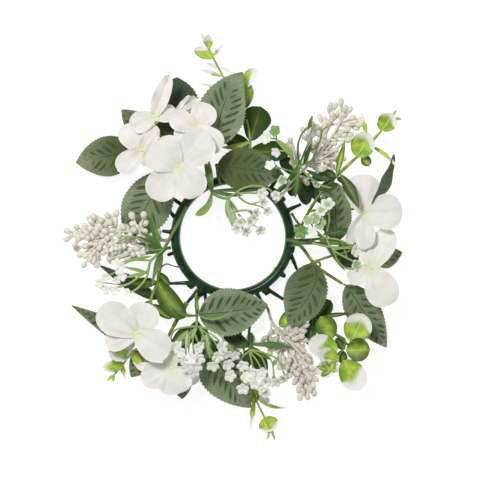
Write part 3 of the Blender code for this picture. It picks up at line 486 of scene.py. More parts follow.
@dataclass(frozen=True)
class SprayPlastic:
    """Thin moulded stems and slender leaves, green at the root and pale at the tips."""

    green: Colour = srgb(82, 120, 44)
    fresh: Colour = srgb(142, 172, 92)
    pale: Colour = srgb(196, 208, 180)
    dark: Colour = srgb(36, 66, 20)

    def material(self) -> Material:
        """Satin plastic, dusted with white towards the tips."""
        paint = Paint("spray_plastic")
        share, side, tone = paint.parts("tint")
        dust = paint.spot(500.0, 3.0)
        low = paint.mix((tone + 1.0).between(0.0, 1.0), self.dark, self.green)
        body = paint.mix((tone + dust * 0.2).between(0.1, 0.6), low, self.fresh)
        body = paint.mix((tone + dust * 0.5 - 0.2).between(0.55, 1.1), body, self.pale)
        paint.set(base_color=body, roughness=dust * 0.25 + 0.38)
        paint.relief(dust, 0.0002)
        return paint.material


@dataclass(frozen=True)
class BlossomPlastic:
    """Tiny white flowers, mint green in the throat."""

    white: Colour = srgb(241, 241, 231)
    mint: Colour = srgb(152, 184, 122)
    calyx: Colour = srgb(124, 162, 90)

    def material(self) -> Material:
        """Matt plastic with the green sprayed outwards from the throat."""
        paint = Paint("blossom_plastic")
        share, depth, tone = paint.parts("tint")
        spray = paint.spot(700.0, 2.0)
        throat = (1.0 - (share + spray * 0.4 + tone * 0.55).between(0.35, 0.95)) * 0.9
        body = paint.mix(throat, self.white, self.mint)
        paint.set(
            base_color=paint.mix(depth, body, self.calyx),
            roughness=spray * 0.15 + 0.5,
        )
        paint.relief(spray, 0.0002)
        return paint.material


class Finishes:
    """Every material of the ring, made once."""

    def __init__(self) -> None:
        """Make the materials."""
        self.ring = RingPlastic().material()
        self.stem = StemPlastic().material()
        self.petal = PetalCloth().material()
        self.leaf = LeafCloth(
            "leaf_fabric", srgb(140, 154, 121), srgb(120, 137, 103), srgb(62, 80, 32), 0.92,
        ).material()
        self.dark_leaf = LeafCloth(
            "dark_leaf_fabric", srgb(70, 88, 60), srgb(54, 70, 46), srgb(44, 56, 34), 0.5,
            srgb(112, 126, 96),
        ).material()
        self.eucalyptus = EucalyptusPlastic("eucalyptus_plastic").material()
        self.dark_eucalyptus = EucalyptusPlastic(
            "dark_eucalyptus_plastic", srgb(74, 104, 34), srgb(52, 84, 26), srgb(34, 58, 18),
            srgb(120, 140, 90), srgb(90, 118, 44),
        ).material()
        self.berry = BerryPlastic().material()
        self.spray = SprayPlastic().material()
        self.blossom = BlossomPlastic().material()


def only(shape: Shape) -> None:
    """Deselect everything, then select one object and work on it."""
    bpy.ops.object.select_all(action="DESELECT")
    shape.select_set(True)
    bpy.context.view_layer.objects.active = shape


def begin_edit() -> Shape:
    """Start editing the primitive that was just added.

    Returns:
        The primitive.
    """
    shape = bpy.context.active_object
    only(shape)
    bpy.ops.object.mode_set(mode="EDIT")
    return shape


def pick(shape: Shape, test: Callable[[Vector], bool]) -> None:
    """Select the vertices of the edited shape that pass a test of their place."""
    bpy.ops.mesh.select_mode(type="VERT")
    bpy.ops.mesh.select_all(action="DESELECT")
    mesh = bmesh.from_edit_mesh(shape.data)
    for vertex in mesh.verts:
        vertex.select = test(vertex.co)
    mesh.select_flush_mode()
    bmesh.update_edit_mesh(shape.data)


def end_edit(shape: Shape, wall: float = 0.0) -> Shape:
    """Leave edit mode and give a sheet its wall.

    Args:
        shape: the edited object.
        wall: thickness of the wall, none for a closed shape.

    Returns:
        The object.
    """
    bpy.ops.object.mode_set(mode="OBJECT")
    if wall:
        shell = shape.modifiers.new("wall", "SOLIDIFY")
        shell.thickness = wall
        shell.offset = 0.0
        bpy.ops.object.modifier_apply(modifier=shell.name)
    return shape


class Blank:
    """A shape that is modelled once; each copy is bent, placed and given its own mesh."""

    def __init__(self, shape: Shape) -> None:
        """Keep the mesh and drop the object that was modelled."""
        self.mesh = shape.data
        places = np.zeros(len(self.mesh.vertices) * 3)
        self.mesh.vertices.foreach_get("co", places)
        self.flat = places.reshape(-1, 3)
        bpy.data.objects.remove(shape)

    def copy(
        self, places: Array, marks: dict[str, Array], material: Material
    ) -> Shape:
        """A copy with its vertices at new places.

        Args:
            places: the vertices, in millimetres.
            marks: three numbers at each vertex for each named attribute.
            material: the copy's material.

        Returns:
            The new object.
        """
        mesh = self.mesh.copy()
        mesh.vertices.foreach_set("co", (places * MM).astype(np.float32).ravel())
        for name, numbers in marks.items():
            attribute = mesh.attributes.new(name, "FLOAT_VECTOR", "POINT")
            attribute.data.foreach_set("vector", numbers.astype(np.float32).ravel())
        mesh.materials.clear()
        mesh.materials.append(material)
        mesh.update()
        shape = bpy.data.objects.new("part", mesh)
        bpy.context.scene.collection.objects.link(shape)
        return shape


def sheet_blank(across: int, along: int, tooth: float = 0.0, step: int = 3, lean: float = 0.006) -> Blank:
    """Flat blade, 1 long from y = 0 and 2 wide, with a wall 1 thick.

    Args:
        across: faces across it.
        along: faces along it.
        tooth: how far the teeth of its edge stand out, as a share of the half width.
        step: faces from one tooth to the next.
        lean: how far a tooth leans towards the tip.

    Returns:
        The blank.
    """
    bpy.ops.mesh.primitive_grid_add(x_subdivisions=across, y_subdivisions=along, size=2, location=(0, 0, 0))
    shape = begin_edit()
    bpy.ops.mesh.select_all(action="SELECT")
    bpy.ops.transform.resize(value=(1.0, 0.5, 1.0))
    bpy.ops.transform.translate(value=(0.0, 0.5, 0.0))
    if tooth:
        pick(shape, lambda place: abs(place.x) > 0.99 and round(place.y * along) % step == 1)
        bpy.ops.transform.resize(value=(1.0 + tooth, 1.0, 1.0))
        bpy.ops.transform.translate(value=(0.0, lean, 0.0))
    return Blank(end_edit(shape, wall=1.0))


def stem_blank(sides: int, rings: int) -> Blank:
    """Round bar, 1 long from z = 0 and 1 in radius, with a rounded end.

    Args:
        sides: sides of the bar.
        rings: faces along it.

    Returns:
        The blank.
    """
    bpy.ops.mesh.primitive_cylinder_add(vertices=sides, radius=1, depth=1, location=(0, 0, 0.5))
    bpy.ops.object.transform_apply(location=True)
    shape = begin_edit()
    bpy.ops.mesh.select_mode(type="EDGE")
    bpy.ops.mesh.select_all(action="DESELECT")
    mesh = bmesh.from_edit_mesh(shape.data)
    for edge in mesh.edges:
        edge.select = abs(edge.verts[0].co.z - edge.verts[1].co.z) > 0.5
    bmesh.update_edit_mesh(shape.data)
    bpy.ops.mesh.subdivide(number_cuts=rings - 1)
    pick(shape, lambda place: place.z > 0.9999)
    bpy.ops.transform.resize(value=(0.62, 0.62, 1.0))
    return Blank(end_edit(shape))


def berry_blank() -> Blank:
    """Teardrop berry, 1 in radius, its neck down to z = -1.9 and a shallow pit on top."""
    bpy.ops.mesh.primitive_uv_sphere_add(segments=12, ring_count=9, radius=1, location=(0, 0, 0))
    shape = begin_edit()
    pick(shape, lambda place: place.z < -0.45)
    bpy.ops.transform.resize(value=(0.74, 0.74, 1.0), center_override=(0, 0, -0.45))
    bpy.ops.transform.translate(value=(0.0, 0.0, -0.28))
    pick(shape, lambda place: place.z < -1.0)
    bpy.ops.transform.resize(value=(0.62, 0.62, 1.9), center_override=(0, 0, -1.0))
    pick(shape, lambda place: place.z > 0.995)
    bpy.ops.transform.translate(value=(0.0, 0.0, -0.16))
    return Blank(end_edit(shape))


def blossom_blank() -> Blank:
    """Flower of five plump lobes, 1 in radius, facing up, with its calyx below."""
    bpy.ops.mesh.primitive_uv_sphere_add(segments=10, ring_count=7, radius=1, location=(0, 0, 0))
    shape = begin_edit()
    bpy.ops.mesh.select_all(action="SELECT")
    bpy.ops.transform.resize(value=(0.49, 0.47, 0.16))
    pick(shape, lambda place: place.x < -0.05)
    bpy.ops.transform.resize(value=(1.2, 0.62, 0.8), center_override=(0, 0, 0))
    bpy.ops.mesh.select_all(action="SELECT")
    bpy.ops.transform.translate(value=(0.56, 0.0, 0.0))
    for vertex in bmesh.from_edit_mesh(shape.data).verts:
        vertex.co.z += 0.22 * vertex.co.x ** 2
    for _ in range(4):
        bpy.ops.mesh.duplicate()
        bpy.ops.transform.rotate(value=math.radians(72), orient_axis="Z", center_override=(0, 0, 0))
    end_edit(shape)
    bpy.ops.mesh.primitive_cone_add(vertices=8, radius1=0.12, radius2=0.3, depth=0.95, location=(0, 0, -0.52))
    calyx = bpy.context.active_object
    bpy.ops.object.transform_apply(location=True)
    only(shape)
    calyx.select_set(True)
    bpy.ops.object.join()
    return Blank(shape)


class Blanks:
    """Every blank of the ring's picks, modelled once."""

    def __init__(self) -> None:
        """Model the blanks."""
        self.leaf = sheet_blank(14, 66, tooth=0.055)
        self.petal = sheet_blank(20, 26)
        self.broad = sheet_blank(12, 20)
        self.slim = sheet_blank(6, 16)
        self.feather = sheet_blank(2, 96, tooth=2.8, step=4, lean=0.035)
        self.stem = stem_blank(8, 18)
        self.stalk = stem_blank(6, 8)
        self.berry = berry_blank()
        self.blossom = blossom_blank()


class Run:
    """Smooth line through a few points, with frames that don't twist along it."""

    def __init__(self, points: Path, bends: int = 7) -> None:
        """Work out the line.

        Args:
            points: the points that it passes through, in millimetres.
            bends: straight bits between two points.
        """
        knots = np.array([tuple(point) for point in points], float)
        ahead = np.vstack([knots[1:], knots[-1:]])
        behind = np.vstack([knots[:1], knots[:-1]])
        directions = unit(ahead - behind)
        line = [knots[0]]
        for index in range(len(knots) - 1):
            reach = np.linalg.norm(knots[index + 1] - knots[index])
            for step in range(1, bends + 1):
                t = step / bends
                line.append(
                    knots[index] * (1 - 3 * t ** 2 + 2 * t ** 3)
                    + knots[index + 1] * (3 * t ** 2 - 2 * t ** 3)
                    + directions[index] * reach * (t - 2 * t ** 2 + t ** 3)
                    + directions[index + 1] * reach * (t ** 3 - t ** 2)
                )
        self.line = np.array(line)
        steps = np.linalg.norm(np.diff(self.line, axis=0), axis=1)
        self.travel = np.concatenate([[0.0], np.cumsum(steps)])
        self.length = float(self.travel[-1])
        tangents = unit(np.gradient(self.line, axis=0))
        side = np.cross(tangents[0], (0.0, 0.0, 1.0))
        if np.linalg.norm(side) < 0.1:
            side = np.cross(tangents[0], (1.0, 0.0, 0.0))
        sides = []
        for tangent in tangents:
            side = side - tangent * np.dot(side, tangent)
            side = side / np.linalg.norm(side)
            sides.append(side)
        self.tangents = tangents
        self.sides = np.array(sides)
        self.overs = np.cross(self.sides, tangents)

    def at(self, share: Array) -> tuple[Array, Array, Array]:
        """Centre, side and upper direction at shares of the length."""
        wanted = share * self.length
        rows = []
        for table in (self.line, self.sides, self.overs):
            columns = [np.interp(wanted, self.travel, column) for column in table.T]
            rows.append(np.stack(columns, axis=1))
        return rows[0], unit(rows[1]), unit(rows[2])

    def point(self, share: float) -> Array:
        """Place at one share of the length."""
        return self.at(np.array([share]))[0][0]

    def nearest(self, place: Array) -> Pair:
        """Distance seen from above, and share, of the nearest place on the line."""
        gaps = np.linalg.norm((self.line - place)[:, :2], axis=1)
        index = int(np.argmin(gaps))
        return float(gaps[index]), float(self.travel[index] / self.length)


def branch_point(runs: Sequence[Run], spot: Array, lead: float, slope: float) -> tuple[Array, Array]:
    """Where a stalk leaves the stem that is nearest to its end.

    Args:
        runs: the lines of the stems.
        spot: where the stalk ends.
        lead: how far before the nearest place it leaves, in millimetres.
        slope: how much further for each millimetre between the two.

    Returns:
        Where it leaves the stem, and the stem's nearest place.
    """
    gap, share, index = min((*run.nearest(spot), index) for index, run in enumerate(runs))
    run = runs[index]
    return run.point(max(share - (lead + gap * slope) / run.length, 0.02)), run.point(share)


@dataclass
class Stem:
    """Tapered round stem through a few points.

    radii are its radius at both ends, and tones its shade at both ends.
    """

    points: Path
    radii: Pair = (0.8, 0.6)
    tones: Pair = (0.0, 0.0)

    def build(self, blank: Blank, material: Material) -> Shape:
        """The stem, laid along its line.

        Args:
            blank: the bar that is bent.
            material: the stem's material.

        Returns:
            The stem.
        """
        run = Run(self.points)
        share = blank.flat[:, 2]
        centre, side, over = run.at(share)
        swell = 1.0 + 0.05 * np.sin(share * run.length * 0.9 + self.points[0][0])
        radius = (self.radii[0] + (self.radii[1] - self.radii[0]) * share) * swell
        across = blank.flat[:, 0] * radius
        upward = blank.flat[:, 1] * radius
        places = centre + side * across[:, None] + over * upward[:, None]
        tone = self.tones[0] + (self.tones[1] - self.tones[0]) * share
        marks = {
            "place": np.stack([share * run.length, blank.flat[:, 0], share * 0 + 2.0], axis=1),
            "tint": np.stack([share, share * 0, tone], axis=1),
        }
        return blank.copy(places, marks, material)


@dataclass(frozen=True)
class Outline:
    """Half width of a blade along its length, as a share of its widest.

    widest is where it is widest, claw its half width at the base. The two pairs bend the curve towards
    the base and towards the tip: the first number rounds the shoulder, the second the end.
    """

    widest: float
    claw: float
    base: Pair
    tip: Pair

    def at(self, share: Array) -> Array:
        """Half width at shares of the length."""
        share = np.clip(share, 0.0, 1.0)
        back = np.clip((self.widest - share) / self.widest, 0.0, 1.0)
        front = np.clip((share - self.widest) / (1.0 - self.widest), 0.0, 1.0)
        lower = np.maximum(1.0 - back ** self.base[0], 0.0) ** self.base[1]
        upper = np.maximum(1.0 - front ** self.tip[0], 0.0) ** self.tip[1]
        return np.where(share < self.widest, self.claw + (1.0 - self.claw) * lower, upper)


SLIM_OUTLINE = Outline(0.45, 0.12, (1.6, 0.8), (1.6, 0.9))


@dataclass(frozen=True)
class Spots:
    """Where the vertices of a blade lie on its print: in millimetres, then in shares of its size."""

    along: Array
    across: Array
    share: Array
    side: Array
    seed: float


def leaf_relief(spots: Spots) -> Array:
    """Quilting of a leaf between its side veins, with a groove along the midrib."""
    reach = np.abs(spots.across)
    lean = reach * (spots.share * VEIN_LEAN[1] + VEIN_LEAN[0])
    lane = (spots.along - lean) / VEIN_SPACING + np.sign(spots.across) * 0.23 + spots.seed
    inward = 1 - np.clip(np.abs(spots.side), 0, 1) ** 3
    quilt = -0.26 * np.cos((lane - 0.5) * 2 * np.pi) * np.clip(reach / 2.0, 0, 1) * inward
    return quilt - 0.35 * np.exp(-((reach / 0.9) ** 2)) * np.clip(1 - spots.share, 0, 1)


def petal_relief(spots: Spots) -> Array:
    """Soft ribs of a petal, fanning out from its claw."""
    fan = spots.across / (spots.along + 6.0)
    ribs = np.sin(fan * 15.0 + spots.seed * 9.0) * 0.2 + np.sin(fan * 29.0 + spots.seed * 23.0) * 0.09
    groove = 0.5 * np.exp(-((spots.across / 1.3) ** 2)) * (1 - spots.share)
    return ribs * np.clip(spots.share * 2.5, 0, 1) - groove


def rib_relief(spots: Spots) -> Array:
    """Raised midrib and a few faint side ribs of a moulded leaf."""
    reach = np.abs(spots.across)
    rib = 0.25 * np.exp(-((reach / 0.5) ** 2)) * (1 - spots.share)
    return rib + 0.07 * np.cos((spots.along - reach * 1.1) * 2.4) * (1 - np.abs(spots.side) ** 2)


def plain_relief(spots: Spots) -> Array:
    """A groove along the middle of a slender leaf."""
    return -0.15 * np.exp(-((spots.across / 0.4) ** 2))


@dataclass(kw_only=True)
class Bend:
    """How a thin leaf or petal is bent and printed.

    arch bows it up, sway bows it to its right and droop sinks its tip, in millimetres. fold lifts both
    edges in a V and curl turns them up at the last, as shares of the half width. roll and twist turn it
    about its own length in degrees, twist growing towards the tip. ripple is the height of the edge's
    waves, notch the depth of the dent in the tip, and skew how much sooner its right side is painted.
    drift moves the print's root to the right, as a share of the half width, and printed is the share of
    the length that the print covers.
    """

    arch: float = 2.0
    sway: float = 0.0
    droop: float = 0.0
    fold: float = 0.1
    curl: float = 0.0
    roll: float = 0.0
    twist: float = 0.0
    ripple: float = 0.0
    notch: float = 0.0
    skew: float = 0.0
    drift: float = 0.0
    printed: float = 1.0

    def bend(self) -> dict[str, float]:
        """These values by name, as another blade takes them."""
        return {field.name: getattr(self, field.name) for field in fields(Bend)}


@dataclass
class Blade(Bend):
    """One thin leaf or petal, bent from a flat blank."""

    base: Point
    tip: Point
    width: float
    outline: Outline
    _: KW_ONLY
    relief: Callable[[Spots], Array]
    facing: Point = (0.0, 0.0, 1.0)
    waves: float = 2.0
    thickness: float = 0.45
    seed: float = 0.0
    tone: float = 0.0

    def build(self, blank: Blank, material: Material) -> Shape:
        """The blade, bent from its blank.

        Args:
            blank: the flat sheet.
            material: the blade's material.

        Returns:
            The blade.
        """
        side, share, layer = blank.flat.T
        base = np.array(tuple(self.base), float)
        reach = np.array(tuple(self.tip), float) - base
        length = float(np.linalg.norm(reach))
        lateral = unit(np.cross(reach, np.array(tuple(self.facing), float)))
        normal = unit(np.cross(lateral, reach))
        bow = 4 * share * (1 - share)
        steep = 4 * (1 - 2 * share)
        half = self.width / 2 * self.outline.at(share)
        pull = share - (self.notch / length) * np.exp(-((side / 0.35) ** 2)) * share ** 10
        centre = (
            base + np.outer(pull, reach) + np.outer(bow * self.arch - self.droop * share ** 2, normal)
            + np.outer(bow * self.sway, lateral)
        )
        tangent = unit(
            reach + np.outer(steep * self.arch - 2 * self.droop * share, normal)
            + np.outer(steep * self.sway, lateral)
        )
        right = unit(np.cross(tangent, normal))
        up = np.cross(right, tangent)
        turn = np.radians(self.roll + self.twist * share)[:, None]
        right, up = right * np.cos(turn) - up * np.sin(turn), up * np.cos(turn) + right * np.sin(turn)
        across = side * half
        lift = self.fold * np.abs(across) + self.curl * half * np.abs(side) ** 3
        wave = np.sin(2 * np.pi * (self.waves * share + self.seed * 3.7 + 0.3 * np.sign(side)))
        lift = lift + self.ripple * wave * np.abs(side) ** 2 * np.clip(share * 3, 0, 1)
        drift = self.drift * (1.0 - np.clip(share, 0, 1)) ** 2
        printed_side = (side - drift) / (1.0 - drift * np.sign(side - drift))
        printed_across = (side - drift) * half
        printed_share = share / self.printed
        spots = Spots(share * length, printed_across, printed_share, printed_side, self.seed)
        lift = lift + self.relief(spots)
        wall = self.thickness * (1.0 - 0.4 * np.abs(np.clip(side, -1, 1)) ** 3)
        places = centre + right * across[:, None] + up * (lift + layer * wall)[:, None]
        seeds = self.seed - self.skew * side
        marks = {
            "place": np.stack([spots.along, printed_across, seeds], axis=1),
            "tint": np.stack([printed_share, printed_side, np.full_like(share, self.tone)], axis=1),
        }
        return blank.copy(places, marks, material)


def stand(blank: Blank, centre: Array, axis: Array, size: Point, turn: float = 0.0) -> Array:
    """Places of a blank stood up on an axis.

    Args:
        blank: the shape, whose own axis is Z.
        centre: where its middle goes.
        axis: where its Z points.
        size: scale of its three directions, in millimetres.
        turn: turn about its own axis, in radians.

    Returns:
        The places of its vertices.
    """
    axis = unit(np.array(axis, float))
    side = np.cross(axis, (0.23, 1.0, 0.11))
    side = unit(side)
    over = np.cross(axis, side)
    side, over = side * math.cos(turn) + over * math.sin(turn), over * math.cos(turn) - side * math.sin(turn)
    scaled = blank.flat * np.array(size)
    return centre + np.outer(scaled[:, 0], side) + np.outer(scaled[:, 1], over) + np.outer(scaled[:, 2], axis)


class Piece:
    """One finished piece of the ring, joined from its parts."""

    def __init__(self, node: str, slot: Slot) -> None:
        """Start a piece that stands for one node of the solids."""
        self.node = node
        self.slot = slot
        self.parts: list[Shape] = []

    def add(self, part: Shape) -> None:
        """Add one part."""
        self.parts.append(part)

    def finish(self, angle: float = 50.0) -> Shape:
        """Join the parts, smooth them and tie the piece to the ring.

        Args:
            angle: edges that turn by more degrees than this stay sharp.

        Returns:
            The finished piece.
        """
        bpy.ops.object.select_all(action="DESELECT")
        for part in self.parts:
            part.select_set(True)
        shape = self.parts[0]
        bpy.context.view_layer.objects.active = shape
        if len(self.parts) > 1:
            bpy.ops.object.join()
        shape.name = f"{self.node}_dressed"
        shape.data.name = shape.name
        bpy.ops.object.shade_smooth_by_angle(angle=math.radians(angle))
        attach(shape, "root")
        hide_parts(self.node)
        LOG.info("%s: %d faces", shape.name, len(shape.data.polygons))
        return shape


@dataclass
class MouldedRing:
    """The plastic ring with its rounded crown, prongs, cuff and knob.

    A prong is the angle of its root and its tip; a boss or the peg is its angle and how far out it ends.
    """

    hole_radius: float = HOLE_RADIUS
    outer_radius: float = OUTER_RADIUS
    height: float = RING_HEIGHT
    turns: int = 120
    cuff_angle: float = -36.5
    knob_angle: float = 25.0
    knob: Point = (43.8, 20.3, 8.2)
    knob_radii: Pair = (1.7, 1.5)
    peg: Pair = (-37.2, 50.7)
    peg_radii: Pair = (3.4, 1.3)
    boss_radii: Pair = (4.0, 2.6)
    prong_radii: Pair = (1.9, 1.15)
    root_height: float = 4.5
    boss_height: float = 4.3
    peg_height: float = 5.0
    bosses: Sequence[Pair] = (
        (176, 48.5), (229, 51.5), (240, 52.5), (302, 52.0), (47, 49.5), (38, 50.0), (348, 48.5),
    )
    prongs: Sequence[tuple[float, Point]] = (
        (164, (-50.0, 22.0, 5.0)),
        (176, (-54.0, 4.5, 4.0)),
        (195, (-50.0, -14.0, 3.5)),
        (233, (-49.3, -35.7, 4.0)),
        (238, (-36.2, -52.0, 5.0)),
        (240, (-20.5, -49.5, 4.0)),
        (264, (-5.5, -56.0, 4.0)),
        (292, (21.8, -48.3, 4.0)),
        (301, (39.6, -48.3, 5.5)),
        (348, (49.3, -25.2, 5.0)),
        (2, (56.0, 3.0, 4.0)),
        (26, (52.5, 25.0, 4.5)),
        (52, (34.0, 44.0, 4.0)),
        (86, (4.0, 57.0, 4.0)),
        (103, (-12.5, 56.0, 4.0)),
        (148, (-47.5, 30.5, 4.5)),
    )

    def band(self) -> Shape:
        """The ring itself, spun from its section."""
        middle = (self.hole_radius + self.outer_radius) / 2 * MM
        width = (self.outer_radius - self.hole_radius) / 2
        bpy.ops.mesh.primitive_circle_add(
            vertices=24, radius=1, location=(middle, 0, self.height / 2 * MM), rotation=(math.pi / 2, 0, 0)
        )
        bpy.ops.object.transform_apply(location=True, rotation=True, scale=True)
        shape = begin_edit()
        centre = (middle, 0, self.height / 2 * MM)
        bpy.ops.mesh.select_all(action="SELECT")
        bpy.ops.transform.resize(value=(width * MM, 1.0, self.height / 2 * MM), center_override=centre)
        pick(shape, lambda place: place.z < 0.75 * MM)
        bpy.ops.transform.resize(value=(1.5, 1.0, 0.0), center_override=(middle, 0, 0))
        pick(shape, lambda place: 0.1 * MM < place.z < 7.2 * MM)
        bpy.ops.transform.resize(value=(1.0, 1.0, 0.9), center_override=(middle, 0, 4 * MM))
        pick(shape, lambda place: place.x < middle and place.z > 4 * MM)
        bpy.ops.transform.translate(value=(0.35 * MM, 0.0, 0.0))
        bpy.ops.mesh.select_all(action="SELECT")
        bpy.ops.mesh.spin(steps=self.turns, angle=2 * math.pi, center=(0, 0, 0), axis=(0, 0, 1))
        bpy.ops.mesh.select_all(action="SELECT")
        bpy.ops.mesh.remove_doubles(threshold=0.00002)
        bpy.ops.mesh.normals_make_consistent(inside=False)
        return end_edit(shape)

    def cuff(self) -> Shape:
        """Small clip ring round the band."""
        place = polar(CROWN_RADIUS + 0.6, self.cuff_angle, self.height / 2)
        bpy.ops.mesh.primitive_torus_add(
            major_radius=4.1 * MM, minor_radius=0.8 * MM, major_segments=32, minor_segments=10,
            location=tuple(step * MM for step in place),
            rotation=(math.pi / 2, 0.0, math.radians(self.cuff_angle)),
        )
        bpy.ops.object.transform_apply(location=True, rotation=True, scale=True)
        return bpy.context.active_object

    def build(self, blanks: Blanks, finishes: Finishes) -> Shape:
        """The whole moulding.

        Args:
            blanks: what the prongs are bent from.
            finishes: the materials.

        Returns:
            The finished piece.
        """
        piece = Piece("ring_base", Slot.RING)
        for part in (self.band(), self.cuff()):
            part.data.materials.append(finishes.ring)
            piece.add(part)
        spikes = [(angle, self.root_height, tip, self.prong_radii) for angle, tip in self.prongs]
        for angle, reach in self.bosses:
            spikes.append((angle, self.root_height, polar(reach, angle, self.boss_height), self.boss_radii))
        angle, reach = self.peg
        spikes.append((angle, self.peg_height, polar(reach, angle, self.peg_height), self.peg_radii))
        spikes.append((self.knob_angle, self.peg_height, self.knob, self.knob_radii))
        for angle, height, tip, radii in spikes:
            spike = Stem([polar(CROWN_RADIUS, angle, height), tip], radii)
            piece.add(spike.build(blanks.stem, finishes.ring))
        return piece.finish()


@dataclass
class Petal(Bend):
    """One petal: bearing in degrees seen from above, length, width and lift in degrees.

    widest is where along it the petal is widest, and blunt how square its end is.
    """

    bearing: float
    length: float
    width: float
    lift: float
    _: KW_ONLY
    widest: float = 0.6
    blunt: float = 2.3
    arch: float = 1.2
    droop: float = 1.5
    fold: float = 0.06
    curl: float = 0.04
    ripple: float = 0.7
    notch: float = 0.6


@dataclass
class Floret:
    """White floret of four or five petals round a bead, the second and fourth above the others.

    overlap is how far the claw of a petal reaches back past the middle, in millimetres.
    """

    node: str
    centre: Point
    petals: Sequence[Petal]
    facing: Point = (0.0, 0.0, 1.0)
    seed: float = 0.1
    overlap: float = 3.2

    def build(self, blanks: Blanks, finishes: Finishes) -> Shape:
        """The floret.

        Args:
            blanks: what its parts are bent from.
            finishes: the materials.

        Returns:
            The finished piece.
        """
        piece = Piece(self.node, Slot.PETAL)
        centre = Vector(self.centre)
        facing = Vector(self.facing).normalized()
        for index, petal in enumerate(self.petals):
            turn = math.radians(petal.bearing)
            flat = Vector((math.cos(turn), math.sin(turn), 0.0))
            outward = (flat - facing * flat.dot(facing)).normalized()
            rise = math.radians(petal.lift)
            middle = centre + outward * 0.6 + facing * (0.5 if index % 2 else 0.0)
            tip = middle + (outward * math.cos(rise) + facing * math.sin(rise)) * petal.length
            outline = Outline(petal.widest, 0.12, (1.5, 0.85), (petal.blunt, 0.5))
            blade = Blade(
                middle - outward * self.overlap, tip, petal.width, outline, relief=petal_relief,
                facing=facing, thickness=0.4, seed=self.seed + index * 0.37, tone=1.0, **petal.bend(),
            )
            piece.add(blade.build(blanks.petal, finishes.petal))
        piece.add(self.bead(blanks.berry, centre + facing * 0.9, facing, finishes.petal))
        neck = Stem([centre - facing * 3.0, centre + facing * 0.2], (0.9, 2.1), (0.2, 0.2))
        piece.add(neck.build(blanks.stalk, finishes.stem))
        return piece.finish()

    def bead(self, blank: Blank, place: Vector, facing: Vector, material: Material) -> Shape:
        """Small bead at the middle of the floret."""
        places = stand(blank, np.array(place), np.array(facing), (1.3, 1.3, 1.1))
        still = np.zeros_like(places)
        tint = still + np.array((0.3, 0.0, 0.6))
        return blank.copy(places, {"place": still + np.array((2.0, 0.0, self.seed)), "tint": tint}, material)


FLORETS = (
    Floret("floret_upper_left_1", (-41.8, 53.3, 40), petals=(
        Petal(44, 34, 28, 4), Petal(137, 24.5, 31, 8, widest=0.62, blunt=2.6), Petal(231, 30.5, 24.5, 3),
        Petal(309, 27.5, 24.5, 8),
    ), facing=(0.05, -0.08, 1), seed=0.11),
    Floret("floret_upper_left_2", (-27.4, 82.4, 32), petals=(
        Petal(62, 20, 20.5, 3), Petal(155, 21.5, 17, 6), Petal(205, 18, 14, 2), Petal(319, 24.5, 19.5, 6),
    ), seed=0.23),
    Floret("floret_upper_left_3", (-69.3, 65.3, 27), petals=(
        Petal(127, 23.5, 17.5, -3), Petal(58, 21.5, 12.5, 3), Petal(318, 15, 15, 2),
        Petal(220, 23, 17, 5),
    ), seed=0.37),
    Floret("floret_upper_left_4", (-59.8, 91.2, 27), petals=(
        Petal(69, 33.5, 13, 10, widest=0.45, fold=0.35, notch=10), Petal(203, 18.5, 17, 8, droop=3),
        Petal(285, 5, 8, 5), Petal(6, 16.5, 11, 6),
    ), seed=0.41),
    Floret("floret_upper_left_5", (-43.8, 93.5, 24), petals=(
        Petal(36, 20, 11, 3, roll=25), Petal(27, 22, 4.5, 8, notch=0.2), Petal(150, 9, 9, 2),
        Petal(52, 17.5, 3.5, 12, notch=0.2),
    ), seed=0.53),
    Floret("floret_right_1", (100.2, 18.1, 28), petals=(
        Petal(94.5, 29, 27.5, 2), Petal(3, 28.5, 27.5, 8), Petal(271, 27.5, 16, 3),
        Petal(243, 25.5, 13, 2, roll=-25),
    ), seed=0.61),
    Floret("floret_right_2", (105.5, -24, 24), petals=(
        Petal(64, 32.5, 20.5, 3, roll=-10), Petal(296, 31, 26, 6), Petal(207, 19.5, 15, 3),
        Petal(97, 28, 18, -4),
    ), seed=0.73),
    Floret("floret_lower_left_1", (-72.8, -73.4, 33), petals=(
        Petal(68, 24, 25, 4), Petal(146, 34, 26, 7), Petal(198, 24.5, 17, 3, widest=0.64, blunt=2.6),
        Petal(327, 29, 25, 8), Petal(225, 31, 15, -28),
    ), seed=0.83),
    Floret("floret_lower_left_2", (-46.1, -100.1, 26), petals=(
        Petal(204, 24.5, 19.5, 4), Petal(284, 19.5, 26, 8), Petal(335, 22.5, 12, -6),
        Petal(98, 13.5, 13, 6), Petal(177, 27, 8, -4, notch=0.2),
    ), seed=0.97),
)


@dataclass
class HydrangeaStem:
    """Branching olive stem under the florets of one head."""

    node: str
    trunk: Path
    branches: Sequence[tuple[Path, str]]
    radius: float = 1.35
    shoots: Sequence[Stem] = ()

    def build(self, blanks: Blanks, finishes: Finishes) -> Shape:
        """The stem and its branches, each ending in a floret's neck.

        Args:
            blanks: what its parts are bent from.
            finishes: the materials.

        Returns:
            The finished piece.
        """
        piece = Piece(self.node, Slot.STEM)
        piece.add(Stem(self.trunk, (self.radius, 1.2), (0.6, 0.2)).build(blanks.stem, finishes.stem))
        for shoot in self.shoots:
            piece.add(shoot.build(blanks.stem, finishes.stem))
        florets = {floret.node: floret for floret in FLORETS}
        for points, node in self.branches:
            floret = florets[node]
            centre = Vector(floret.centre)
            facing = Vector(floret.facing).normalized()
            path = [*points, centre - facing * 8.0, centre - facing * 2.4]
            piece.add(Stem(path, (1.0, 0.9), (0.25, 0.05)).build(blanks.stem, finishes.stem))
        return piece.finish()


